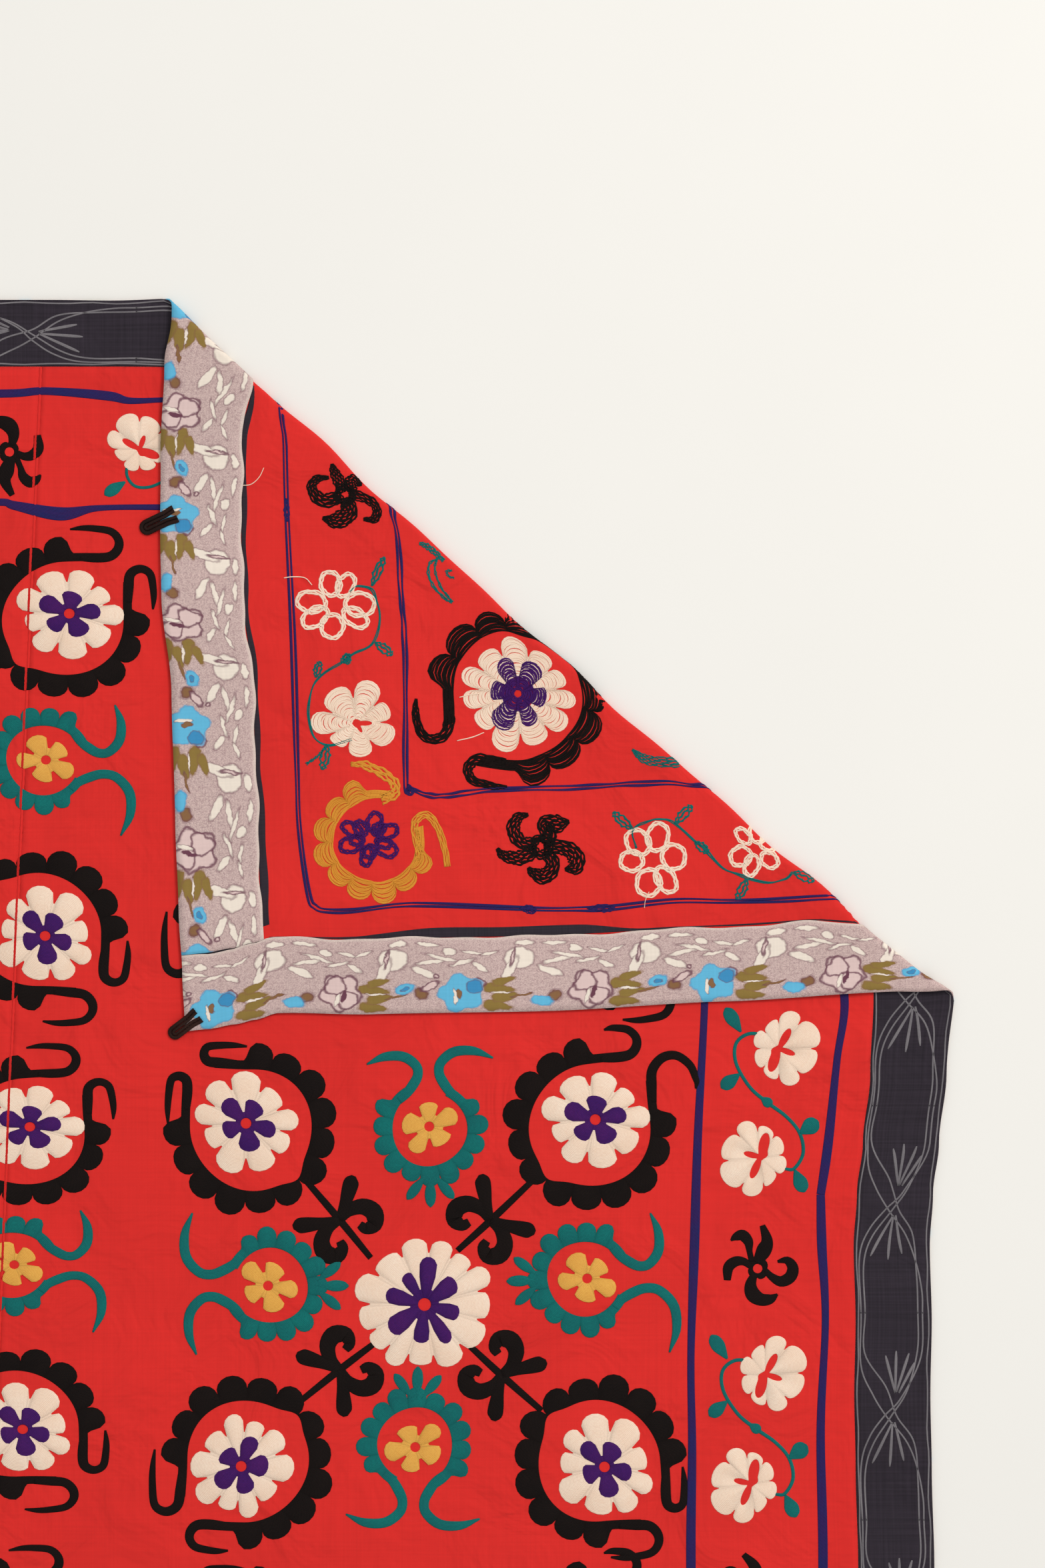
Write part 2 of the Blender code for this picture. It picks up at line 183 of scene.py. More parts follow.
def blend_rows(rows, along):
    """Second column of a table at places of its first column, eased from each row to the next."""
    index = np.clip(np.searchsorted(rows[:, 0], along) - 1, 0, len(rows) - 2)
    low, high = rows[index], rows[index + 1]
    return low[..., 1] + (high[..., 1] - low[..., 1]) * ease(along, low[..., 0], high[..., 0])


def wrinkles(rows, x, y):
    """Soft ridges: height * exp(-(across/width)^2) * (1 - (along/length)^2)^2, summed over the rows."""
    height = np.zeros_like(x)
    for centre_x, centre_y, heading, half_length, half_width, rise in rows:
        cosine, sine = math.cos(math.radians(heading)), math.sin(math.radians(heading))
        along = (x - centre_x) * cosine + (y - centre_y) * sine
        across = (y - centre_y) * cosine - (x - centre_x) * sine
        ends = np.clip(1 - (along / half_length) ** 2, 0, 1) ** 2
        height += rise * np.exp(-((across / half_width) ** 2)) * ends
    return np.maximum(height - WRINKLE_FLOOR, 0)


def swing(x, y):
    """X of a point once the right side swings out: x + outward(y) * ease(x)."""
    return x + blend_rows(SIDE_SWING, y) * ease(x, SWING_STARTS_X, SWING_FULL_X)


def unswing(x, y):
    """X as it was cut, from the place after the swing, closed in on in six passes."""
    cut_x = x
    for _pass in range(6):
        cut_x = x - blend_rows(SIDE_SWING, y) * ease(cut_x, SWING_STARTS_X, SWING_FULL_X)
    return cut_x


def inside_rim(x, y):
    """0 on the rim of the textile as cut, 1 further in."""
    sides = np.minimum(x - LEFT_EDGE, RIGHT_EDGE - x)
    ends = np.minimum(y - BOTTOM_EDGE, TOP_EDGE - y)
    return ease(np.minimum(sides, ends), RIM_FLAT, RIM_FLAT + RIM_FADE)


def edge_frames():
    """Start, direction and outward normal of the flap's two free edges, seen from above."""
    fold = np.array((FOLD_COS, FOLD_SIN))
    across = np.array((-FOLD_SIN, FOLD_COS))
    start = np.array((FOLD_X, FOLD_Y))
    corner = np.array((RIGHT_EDGE + SIDE_SWING[-1][1], TOP_EDGE)) - start
    turned = corner @ across + BEND_RADIUS
    beyond = turned - math.pi * BEND_RADIUS
    tip = start + (corner @ fold + FLAP_SLIDE * turned) * fold
    tip = tip - (BEND_RADIUS + FLAP_STRETCH * beyond) * across
    end = start + FOLD_LENGTH * fold
    top_run = (tip - start) / np.linalg.norm(tip - start)
    side_run = (end - tip) / np.linalg.norm(end - tip)
    return (
        (start, top_run, np.array((top_run[1], -top_run[0]))),
        (tip, side_run, np.array((side_run[1], -side_run[0]))),
    )


def folded(open_x, open_y, lift):
    """Carry points of the open textile into place, lift being their height over the back face.

    Past the fold line a point runs round a half circle of the bend radius and back over the front,
    upside down. The flap slides along the fold and stretches in step with the distance from it,
    and settles by 1 - exp(-(distance/settles)^1.5). The fold line's unevenness, the bulges of the
    free edges and the wrinkles are added last.
    """
    x, y = open_x - FOLD_X, open_y - FOLD_Y
    along = x * FOLD_COS + y * FOLD_SIN
    across = y * FOLD_COS - x * FOLD_SIN
    turned = np.maximum(across + BEND_RADIUS, 0)
    angle = np.minimum(turned / BEND_RADIUS, math.pi)
    beyond = np.maximum(turned - math.pi * BEND_RADIUS, 0)
    radius = BEND_RADIUS - lift
    along = along + FLAP_SLIDE * turned
    across = np.minimum(across, -BEND_RADIUS) + radius * np.sin(angle) - FLAP_STRETCH * beyond
    settled = 1 - np.exp(-((beyond / FLAP_SETTLES_IN) ** 1.5))
    z = BEND_RADIUS - radius * np.cos(angle) - (2 * BEND_RADIUS - FLAP_REST) * settled
    share = along / FOLD_LENGTH
    bow = -0.0058 * np.sin(math.pi * np.clip(share, 0, 1)) * np.exp(-((across / 0.110) ** 2))
    waver = 0.0012 * np.sin(43 * along + 0.6) + 0.0009 * np.sin(67 * along + 2.1)
    knuckle = 0.0050 * np.exp(-(((along - FOLD_LENGTH) / 0.022) ** 2))
    across = across + bow + (waver + knuckle) * np.exp(-((across / 0.040) ** 2))
    x = FOLD_X + along * FOLD_COS - across * FOLD_SIN
    y = FOLD_Y + along * FOLD_SIN + across * FOLD_COS
    on_flap = ease(beyond, 0, 0.030)
    shift_x, shift_y = np.zeros_like(x), np.zeros_like(y)
    for rows, (start, run, outward) in zip((FLAP_TOP_EDGE, FLAP_SIDE_EDGE), edge_frames()):
        place = (x - start[0]) * run[0] + (y - start[1]) * run[1]
        inside = -((x - start[0]) * outward[0] + (y - start[1]) * outward[1])
        shift = blend_rows(rows, place) * on_flap * ease(inside, EDGE_SHIFT_ENDS, EDGE_SHIFT_FULL)
        shift_x, shift_y = shift_x + shift * outward[0], shift_y + shift * outward[1]
    x, y = x + shift_x, y + shift_y
    z = z + wrinkles(GROUND_WRINKLES, x, y) * inside_rim(unswing(x, y), y)
    flap_inside = on_flap * inside_rim(unswing(open_x, open_y), open_y)
    return x, y, z + wrinkles(FLAP_WRINKLES, x, y) * flap_inside


def ground_lift(x, y):
    """Height of the ground's back face: on the facing's inner rim, then down to the floor."""
    cut_x = unswing(x, y)
    side_rim = np.minimum(cut_x - LEFT_EDGE, RIGHT_EDGE - cut_x) - SIDE_FACING
    end_rim = np.minimum(y - BOTTOM_EDGE, TOP_EDGE - y) - TOP_FACING
    inside = np.minimum(side_rim, end_rim) - LAP_LEVEL
    return (CLOTH_THICK + GAP) * (1 - np.clip(inside / LAP_RAMP, 0, 1))


def set_mesh(name, points, quads, caps, uv, material, flat=0):
    """A piece from points, four-sided faces and end caps; the last flat faces are not smoothed."""
    mesh = bpy.data.meshes.new(name)
    mesh.from_pydata(points, [], quads.tolist() + caps)
    mesh.materials.append(material)
    smooth = np.ones(len(mesh.polygons), bool)
    smooth[len(smooth) - flat:] = False
    mesh.polygons.foreach_set("use_smooth", smooth)
    corners = np.empty(len(mesh.loops), np.int32)
    mesh.loops.foreach_get("vertex_index", corners)
    mesh.uv_layers.new(name="cloth").data.foreach_set("uv", uv[corners].astype(np.float32).ravel())
    mesh.update()
    piece = bpy.data.objects.new(name, mesh)
    bpy.context.scene.collection.objects.link(piece)
    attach(piece, "root")
    return piece


def packed(low, high, count, line, reach, extra):
    """Places from low to high, each row closer together round its line: even steps of the sum of
    (1 + extra * exp(-((x - line)/reach)^2))."""
    fine = np.linspace(0, 1, 600)[None, :] * (high - low)[:, None] + low[:, None]
    weight = 1 + extra * np.exp(-(((fine - line[:, None]) / reach) ** 2))
    total = np.cumsum(weight, axis=1)
    total = (total - total[:, :1]) / (total[:, -1:] - total[:, :1])
    steps = np.linspace(0, 1, count)
    return np.stack([np.interp(steps, share, row) for share, row in zip(total, fine)])


BEND_MIDDLE = 0.6 * BEND_RADIUS
FOLD_BAND, NO_FOLD = 0.020, 9.0


def fold_line_x(y):
    """X where the middle of the bend, BEND_MIDDLE past the fold line, crosses a row of the textile."""
    return FOLD_X + ((y - FOLD_Y) * FOLD_COS - BEND_MIDDLE) / FOLD_SIN


def cloth_slab(name, cut_x, cut_y, under, material, place=None):
    """A closed sheet of one thickness over a grid of places as cut: back, front and four rims."""
    rows, columns = cut_x.shape
    open_x = swing(cut_x, cut_y)
    low = under(open_x, cut_y)
    back = np.stack(folded(open_x, cut_y, low), -1).reshape(-1, 3)
    front = np.stack(folded(open_x, cut_y, low + CLOTH_THICK), -1).reshape(-1, 3)
    index = np.arange(rows * columns).reshape(rows, columns)
    count = index.size
    top = np.stack((index[:-1, :-1], index[:-1, 1:], index[1:, 1:], index[1:, :-1]), -1).reshape(-1, 4)
    rims = []
    for line in (index[0], index[:, -1], index[-1, ::-1], index[::-1, 0]):
        rims.append(np.stack((line[1:] + count, line[:-1] + count, line[:-1], line[1:]), -1))
    rim = np.concatenate(rims)
    quads = np.concatenate((top[:, ::-1], top + count, rim))
    across, along = (cut_x, cut_y) if place is None else place
    uv = np.tile(np.column_stack((across.ravel(), along.ravel())), (2, 1))
    return set_mesh(name, np.concatenate((back, front)), quads, [], uv, material, len(rim))


def new_effect(name, inputs, outputs):
    """A shared node group with named sockets, and its inputs and outputs as seen from within."""
    group = bpy.data.node_groups.new(name, "ShaderNodeTree")
    for socket, kind in inputs.items():
        group.interface.new_socket(socket, in_out="INPUT", socket_type=f"NodeSocket{kind}")
    for socket in outputs:
        group.interface.new_socket(socket, in_out="OUTPUT", socket_type="NodeSocketFloat")
    return group, group.nodes.new("NodeGroupInput").outputs, group.nodes.new("NodeGroupOutput").inputs


def effect(tree, group, **inputs):
    """Place a shared node group in a tree with its inputs, and give back all its outputs."""
    return node(tree, "ShaderNodeGroup", inputs=inputs, node_tree=group).node.outputs


def two_parts(tree, vector):
    """X and Y of a vector."""
    parted = node(tree, "ShaderNodeSeparateXYZ", inputs={0: vector}).node.outputs
    return parted[0], parted[1]


THREAD_PITCH = 0.0011
YARN_STRETCH = ((11, 560, 1), (620, 9, 1))
weave, weave_in, weave_out = new_effect("plain_weave", {"Place": "Vector", "Slub": "Float"}, ("Shade", "Height"))
yarns, checks = [], []
for part, stretch in zip(two_parts(weave, weave_in["Place"]), YARN_STRETCH):
    drawn_out = node(weave, "ShaderNodeMapping", inputs={"Vector": weave_in["Place"], "Scale": stretch})
    yarn = node(weave, "ShaderNodeTexNoise", inputs={"Vector": drawn_out, "Scale": 1, "Detail": 3})
    yarns.append(math_node(weave, "SUBTRACT", yarn, 0.5))
    checks.append(math_node(weave, "SINE", math_node(weave, "MULTIPLY", part, 2 * math.pi / THREAD_PITCH)))
threads = math_node(weave, "MULTIPLY", *checks)
streaks = math_node(weave, "MULTIPLY", math_node(weave, "ADD", *yarns), weave_in["Slub"])
cloudy = node(weave, "ShaderNodeTexNoise", inputs={"Vector": weave_in["Place"], "Scale": 7, "Detail": 4})
shade = math_node(weave, "ADD", math_node(weave, "MULTIPLY_ADD", cloudy, 0.22, 0.89), streaks)
shade = math_node(weave, "ADD", shade, math_node(weave, "MULTIPLY", threads, 0.035))
weave.links.new(shade, weave_out["Shade"])
height = math_node(weave, "MULTIPLY_ADD", streaks, 2.2, math_node(weave, "MULTIPLY", threads, 0.4))
weave.links.new(height, weave_out["Height"])

COTTON_ROUGHNESS, WEAVE_RELIEF = 0.9, 0.00012


def shaded(tree, colour, shade):
    """A colour times a number, as dyed or printed cloth is times its weave's shade."""
    grey = node(tree, "ShaderNodeCombineColor", inputs=dict.fromkeys(range(3), shade))
    return mix_colour(tree, 1.0, colour, grey, "MULTIPLY")


def woven(name, colour, slub, creased):
    """Cotton cloth: its colour times the weave's shade, and the weave's height as a bump over soft
    creases of the height given."""
    material, tree, shader = new_material(name, COTTON_ROUGHNESS)
    cloth = effect(tree, weave, Place=node(tree, "ShaderNodeUVMap", uv_map="cloth"), Slub=slub)
    tree.links.new(shaded(tree, colour, cloth["Shade"]), shader.inputs["Base Color"])
    where = node(tree, "ShaderNodeTexCoord", out=3)
    soft = node(tree, "ShaderNodeTexNoise", inputs={"Vector": where, "Scale": 14, "Detail": 3, "Distortion": 1.2})
    creases = node(tree, "ShaderNodeBump", inputs={"Strength": 1.0, "Distance": creased, "Height": soft})
    relief = node(tree, "ShaderNodeBump", inputs={
        "Strength": 0.6, "Distance": WEAVE_RELIEF, "Height": cloth["Height"], "Normal": creases,
    })
    tree.links.new(relief, shader.inputs["Normal"])
    return material


red = woven("red_cotton", linear(220, 42, 37), 0.15, 0.008)

low_y = BOTTOM_EDGE + TOP_BORDER + GAP / 2
high_y = TOP_EDGE - TOP_BORDER - GAP / 2
LOOM_WIDTHS = (
    # side, rows, columns, how much closer the columns are at the fold, held, flat size, flat area
    ("right", 270, 150, 3.2, "folded", (0.767, 1.603), 1.174),
    ("left", 200, 76, 0.0, "laid", (0.557, 1.603), 0.838),
)
for side, row_count, column_count, closer, held, flat, area in LOOM_WIDTHS:
    rows = np.linspace(low_y, high_y, row_count)
    seam_x = np.interp(rows, (low_y, high_y), (SEAM_BOTTOM_X, SEAM_TOP_X))
    if side == "right":
        start_x, end_x = seam_x + GAP / 2, np.full_like(rows, RIGHT_EDGE - SIDE_BORDER - GAP / 2)
    else:
        start_x, end_x = np.full_like(rows, LEFT_EDGE + SIDE_BORDER + GAP / 2), seam_x - GAP / 2
    grid_x = packed(start_x, end_x, column_count, fold_line_x(rows), FOLD_BAND, closer)
    grid_y = np.broadcast_to(rows[:, None], grid_x.shape)
    piece = cloth_slab(f"red_ground_{side}", grid_x, grid_y, ground_lift, red)
    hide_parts(f"ground_{side}")


# The facing: four strips of printed cotton that back the rim, sewn behind the border. On the turned
# corner they lie outermost, so their print of sky-blue flowers on a hatched ground shows.

ACROSS_COUNT, CLOSER_AT_FOLD = 12, 6
SIDE_PRINT_START, END_PRINT_START = 0.810, 0.063


def strip(name, side, width, end_width, lift, material, count, ragged=0.0):
    """One of four strips round the rim: sides run full height and ends butt into them.

    ragged is how far the inner edge wanders from its line, as a sum of two sines, and the print's
    place is counted along the strip and out from its inner edge."""
    half = GAP / 2
    inner_left, inner_right = LEFT_EDGE + width, RIGHT_EDGE - width
    inner_bottom, inner_top = BOTTOM_EDGE + end_width, TOP_EDGE - end_width
    left, right, bottom, top = {
        "left": (LEFT_EDGE, inner_left - half, BOTTOM_EDGE, TOP_EDGE),
        "right": (inner_right + half, RIGHT_EDGE, BOTTOM_EDGE, TOP_EDGE),
        "top": (inner_left + half, inner_right - half, inner_top + half, TOP_EDGE),
        "bottom": (inner_left + half, inner_right - half, BOTTOM_EDGE, inner_bottom - half),
    }[side]
    if side in ("left", "right"):
        columns = np.linspace(left, right, ACROSS_COUNT)
        low, high = np.full_like(columns, bottom), np.full_like(columns, top)
        line = FOLD_Y + ((columns - FOLD_X) * FOLD_SIN + BEND_MIDDLE) / FOLD_COS
        line = line if side == "right" else np.full_like(columns, NO_FOLD)
        grid_y = packed(low, high, count, line, FOLD_BAND, CLOSER_AT_FOLD).T
        grid_x = np.broadcast_to(columns[None, :], grid_y.shape)
    else:
        rows = np.linspace(bottom, top, ACROSS_COUNT)
        line = fold_line_x(rows) if side == "top" else np.full_like(rows, NO_FOLD)
        low, high = np.full_like(rows, left), np.full_like(rows, right)
        grid_x = packed(low, high, count, line, FOLD_BAND, CLOSER_AT_FOLD)
        grid_y = np.broadcast_to(rows[:, None], grid_x.shape)
    place = {
        "left": (grid_y, inner_left - grid_x),
        "right": (SIDE_PRINT_START - grid_y, grid_x - inner_right),
        "top": (grid_x - END_PRINT_START, grid_y - inner_top),
        "bottom": (-grid_x, inner_bottom - grid_y),
    }[side]
    wander = ragged * (np.sin(place[0] * 61) + 0.6 * np.sin(place[0] * 147 + 1)) * ease(place[1], width, 0)
    if side in ("top", "bottom"):
        wander = wander * ease(np.minimum(grid_x - left, right - grid_x), 0, 0.02)
    grid_x = grid_x + wander * {"left": 1, "right": -1}.get(side, 0)
    grid_y = grid_y + wander * {"bottom": 1, "top": -1}.get(side, 0)
    return cloth_slab(name, grid_x, grid_y, lambda x, y: np.full_like(x, lift), material, place)


shape, shape_in, shape_out = new_effect(
    "printed_shape",
    {"Place": "Vector", "Middle": "Vector", "Size": "Vector", "Repeat": "Float", "Turn": "Float", "Lobes": "Float",
     "Depth": "Float", "Line": "Float"},
    ("Fill", "Edge"),
)
away = node(
    shape, "ShaderNodeVectorMath", operation="SUBTRACT", inputs={0: shape_in["Place"], 1: shape_in["Middle"]}
)
away_x, away_y = two_parts(shape, away)
half_repeat = math_node(shape, "MULTIPLY", shape_in["Repeat"], 0.5)
nearest_x = math_node(shape, "WRAP", away_x, half_repeat, math_node(shape, "MULTIPLY", half_repeat, -1))
nearest = node(shape, "ShaderNodeCombineXYZ", inputs={0: nearest_x, 1: away_y})
nearest = node(
    shape, "ShaderNodeVectorRotate", rotation_type="Z_AXIS", inputs={"Vector": nearest, "Angle": shape_in["Turn"]}
)
nearest = node(shape, "ShaderNodeVectorMath", operation="DIVIDE", inputs={0: nearest, 1: shape_in["Size"]})
nearest_x, nearest_y = two_parts(shape, nearest)
angle = math_node(shape, "ARCTAN2", nearest_y, nearest_x)
lobe = math_node(shape, "COSINE", math_node(shape, "MULTIPLY", angle, shape_in["Lobes"]))
outline = math_node(shape, "MULTIPLY_ADD", lobe, shape_in["Depth"], 1)
reach = node(shape, "ShaderNodeVectorMath", out=1, operation="LENGTH", inputs={0: nearest})
reach = math_node(shape, "SUBTRACT", math_node(shape, "DIVIDE", reach, outline), 1)
fill = node(shape, "ShaderNodeClamp", inputs={0: math_node(shape, "MULTIPLY_ADD", reach, -14, 0.5)})
edge = math_node(shape, "DIVIDE", math_node(shape, "ABSOLUTE", reach), shape_in["Line"])
edge = node(shape, "ShaderNodeClamp", inputs={0: math_node(shape, "SUBTRACT", 1.3, edge)})
shape.links.new(fill, shape_out["Fill"])
shape.links.new(edge, shape_out["Edge"])

PRINT_COLOURS = {
    "white": (240, 226, 210),
    "rose": (224, 196, 190),
    "blue": (100, 184, 218),
    "deep_blue": (62, 142, 190),
    "olive": (142, 116, 58),
    "brown": (138, 100, 66),
    "mauve": (108, 62, 78),
}
TWIGS = (
    # fill, along, out from the inner edge, half length, half width, turn, lobes, depth, line, in mm
    ("white", 20, 21, 11.0, 10.5, 10, 2, 0.08, 0.10), ("white", 12, 31, 4.2, 13.0, 24, 1, 0.10, 0.16),
    ("rose", 15, 20, 1.3, 7.0, 10, 1, 0.0, 0.50), ("white", 24, 7, 7.0, 3.0, 0, 2, 0.05, 0.18),
    ("white", 42, 32, 10.5, 3.2, 24, 1, 0.15, 0.18), ("white", 46, 7, 9.5, 2.0, 2, 1, 0.15, 0.25),
    ("white", 49, 23, 10.5, 2.3, -12, 2, 0.10, 0.25), ("white", 63, 13, 5.2, 3.4, 8, 1, 0.12, 0.18),
    ("white", 58, 19, 11.5, 1.8, 14, 2, 0.10, 0.30), ("white", 72, 24, 9.5, 1.7, -16, 1, 0.15, 0.30),
    ("white", 80, 14, 8.0, 1.6, 12, 1, 0.15, 0.30), ("white", 86, 27, 7.0, 2.5, 34, 1, 0.20, 0.22),
    ("white", 93, 15, 7.0, 1.5, -20, 1, 0.15, 0.30),
)
SPRAY = (
    ("olive", 2, 64, 11.0, 4.4, 8, 3, 0.10, 0.16), ("olive", 8, 56, 10.5, 4.2, -8, 3, 0.10, 0.16),
    ("olive", 3, 48, 12.0, 4.4, 10, 3, 0.12, 0.16), ("olive", 7, 41, 9.0, 3.4, -14, 3, 0.12, 0.18),
    ("white", 6, 52, 8.0, 0.9, 2, 1, 0.0, 0.30), ("brown", 21, 55, 8.5, 1.1, -12, 1, 0.1, 0.20),
)
FLOWERS = (
    ("brown", 139, 52, 5.5, 4.5, 30, 1, 0.1, 0.30), ("blue", 126, 48, 7.5, 4.6, -14, 1, 0.12, 0.16),
    ("deep_blue", 127, 48, 3.6, 1.8, -14, 1, 0.0, 0.20), ("brown", 47, 56, 5.5, 4.5, -20, 1, 0.1, 0.30),
    ("blue", 36, 60, 8.5, 4.8, 6, 1, 0.12, 0.16), ("rose", 75, 50, 15.5, 16.5, 20, 5, 0.13, 0.085),
    ("rose", 71, 44, 8.0, 9.0, 30, 3, 0.14, 0.14), ("rose", 80, 57, 8.5, 8.0, -20, 3, 0.12, 0.14),
    ("white", 72, 57, 1.8, 7.0, 16, 1, 0.1, 0.20), ("mauve", 77, 54, 1.7, 5.5, 16, 1, 0.1, 0.20),
    ("rose", 146, 45, 6.5, 3.2, -30, 2, 0.15, 0.26), ("rose", 184, 43, 3.6, 4.2, 10, 3, 0.15, 0.30),
    ("rose", 151, 36, 1.6, 1.6, 0, 1, 0.0, 0.55), ("blue", 170, 52, 16.0, 17.0, 40, 5, 0.12, 0.05),
    ("deep_blue", 180, 46, 5.5, 7.0, 0, 2, 0.1, 0.10), ("white", 165, 55, 1.5, 7.5, -4, 1, 0.1, 0.15),
    ("brown", 168, 52, 2.2, 4.6, -4, 1, 0.1, 0.15),
)
FILLED_EDGE = {"blue": "deep_blue", "olive": "brown"}

print_cotton, print_tree, print_shader = new_material("printed_cotton", COTTON_ROUGHNESS)
print_uv = node(print_tree, "ShaderNodeUVMap", uv_map="cloth")
print_place = node(print_tree, "ShaderNodeVectorMath", operation="SCALE", inputs={0: print_uv, "Scale": 1000})
shake = node(print_tree, "ShaderNodeTexNoise", out=1, inputs={"Vector": print_place, "Scale": 0.16, "Detail": 3})
shake = node(print_tree, "ShaderNodeVectorMath", operation="SUBTRACT", inputs={0: shake, 1: (0.5, 0.5, 0.5)})
shake = node(print_tree, "ShaderNodeVectorMath", operation="MULTIPLY", inputs={0: shake, 1: (5, 5, 0)})
drawn = node(print_tree, "ShaderNodeVectorMath", operation="ADD", inputs={0: print_place, 1: shake})
hatch = 0
for size, line in ((0.42, 0.035), (0.75, 0.05)):
    grain = node(print_tree, "ShaderNodeTexNoise", inputs={"Vector": print_place, "Scale": size, "Detail": 2})
    ridge = math_node(print_tree, "ABSOLUTE", math_node(print_tree, "SUBTRACT", grain, 0.5))
    ridge = node(print_tree, "ShaderNodeClamp", inputs={0: math_node(print_tree, "MULTIPLY_ADD", ridge, -1 / line, 1)})
    hatch = math_node(print_tree, "MAXIMUM", ridge, hatch)
hatch = math_node(print_tree, "MULTIPLY", hatch, 0.62)
printed = mix_colour(print_tree, hatch, linear(214, 188, 180), linear(128, 88, 98))
print_rows = [(97.5, *row) for row in TWIGS + SPRAY] + [(195.0, *row) for row in FLOWERS]
for repeat, fill, along, out, long, wide, turn, lobe_count, depth, line in print_rows:
    item = effect(
        print_tree, shape, Place=drawn, Middle=(along, out, 0), Size=(long, wide, 1), Turn=-math.radians(turn),
        Repeat=repeat, Lobes=lobe_count, Depth=depth, Line=line,
    )
    printed = mix_colour(print_tree, item["Fill"], printed, linear(*PRINT_COLOURS[fill]))
    ink = linear(*PRINT_COLOURS[FILLED_EDGE.get(fill, "mauve")])
    strength = math_node(print_tree, "MULTIPLY", item["Edge"], 0.85 if fill == "rose" else 0.5)
    printed = mix_colour(print_tree, strength, printed, ink)
out_from_edge = two_parts(print_tree, print_place)[1]
hem = node(print_tree, "ShaderNodeClamp", inputs={0: math_node(print_tree, "MULTIPLY_ADD", out_from_edge, -0.55, 1.7)})
printed = mix_colour(print_tree, math_node(print_tree, "MULTIPLY", hem, 0.55), printed, linear(232, 214, 200))
print_weave = effect(print_tree, weave, Place=print_uv, Slub=0.16)
print_tree.links.new(shaded(print_tree, printed, print_weave["Shade"]), print_shader.inputs["Base Color"])
pucker = node(print_tree, "ShaderNodeTexNoise", inputs={"Vector": print_place, "Scale": 0.09, "Detail": 2})
relief = math_node(print_tree, "MULTIPLY_ADD", pucker, 6, print_weave["Height"])
relief = node(print_tree, "ShaderNodeBump", inputs={"Strength": 0.6, "Distance": 0.00014, "Height": relief})
print_tree.links.new(relief, print_shader.inputs["Normal"])


def rim_strips(kind, slot, width, end_width, lift, material, ragged=0.0):
    """The four strips of one kind, each standing for its solid, which is hidden."""
    for side in ("left", "right", "top", "bottom"):
        count = 380 if side in ("right", "top") else 240
        piece = strip(f"{slot}_{side}", side, width, end_width, lift, material, count, ragged)
        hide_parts(f"{kind}_{side}")


rim_strips("facing", "printed_cotton", SIDE_FACING, TOP_FACING, 0, print_cotton, 0.0009)


# The border: black cotton strips sewn flat round the front, over the raw edge of the ground. The
# edge of the black cotton is turned under, and peeps out beside the facing on the back.

black_cotton = woven("black_cotton", linear(45, 38, 46), 0.9, 0.006)
rim_strips("border", "black_cotton", SIDE_BORDER, TOP_BORDER, CLOTH_THICK + GAP, black_cotton)


# The stitching: silk in chain stitch, row beside row, that fills each motif. It is worked as strips
# between two outlines, and every strip is a thin closed pad that lies on the cloth.

def humps(tree, value):
    """1 - (2*fraction - 1)^2: a row of humps, one for each whole number."""
    ramp = math_node(tree, "MULTIPLY_ADD", math_node(tree, "FRACT", value), 2, -1)
    return math_node(tree, "SUBTRACT", 1, math_node(tree, "MULTIPLY", ramp, ramp))


STITCH_ROW, STITCH_LINK, THREAD_LENGTH = 0.0012, 0.0028, 0.04
chain, chain_in, chain_out = new_effect(
    "chain_stitch", {"Row": "Float", "Link": "Float", "Place": "Vector"}, ("Height", "Shade")
)
run, side = two_parts(chain, chain_in["Place"])
row_place = math_node(chain, "DIVIDE", side, chain_in["Row"])
row_number = math_node(chain, "FLOOR", row_place)
link_share = math_node(chain, "DIVIDE", run, chain_in["Link"])
link_place = math_node(chain, "MULTIPLY_ADD", row_number, 0.37, link_share)
row_hump, link_hump = humps(chain, row_place), humps(chain, link_place)
half_link = math_node(chain, "MULTIPLY_ADD", link_hump, 0.5, 0.5)
chain.links.new(math_node(chain, "MULTIPLY", row_hump, half_link), chain_out["Height"])
thread_number = math_node(chain, "FLOOR", math_node(chain, "DIVIDE", run, THREAD_LENGTH))
row_key = node(chain, "ShaderNodeCombineXYZ", inputs={0: row_number, 1: thread_number})
row_tone = node(chain, "ShaderNodeTexWhiteNoise", noise_dimensions="2D", inputs={"Vector": row_key})
link_tone = math_node(chain, "MULTIPLY", link_hump, 0.5)
chain.links.new(math_node(chain, "MULTIPLY_ADD", row_tone, 0.5, link_tone), chain_out["Shade"])

THREADS = {
    # name: colour, painted shade in the hollows between the stitches, tone of other rows
    "cream": ((255, 236, 214), (232, 190, 164), (248, 220, 194)),
    "black": ((17, 10, 8), (6, 3, 3), (26, 17, 14)),
    "purple": ((86, 30, 104), (44, 12, 62), (62, 24, 98)),
    "teal": ((18, 126, 118), (10, 72, 74), (20, 104, 102)),
    "yellow": ((246, 190, 92), (206, 134, 56), (230, 170, 78)),
    "orange": ((232, 164, 60), (186, 100, 36), (218, 146, 50)),
    "guard": ((62, 28, 88), (34, 14, 52), (36, 40, 98)),
    "grey": ((140, 134, 136), (92, 87, 90), (116, 111, 114)),
    "braid": ((62, 38, 30), (14, 8, 7), (34, 20, 18)),
}


STOPS_AT_SEAM = ("cream", "black", "purple", "teal", "yellow", "orange")


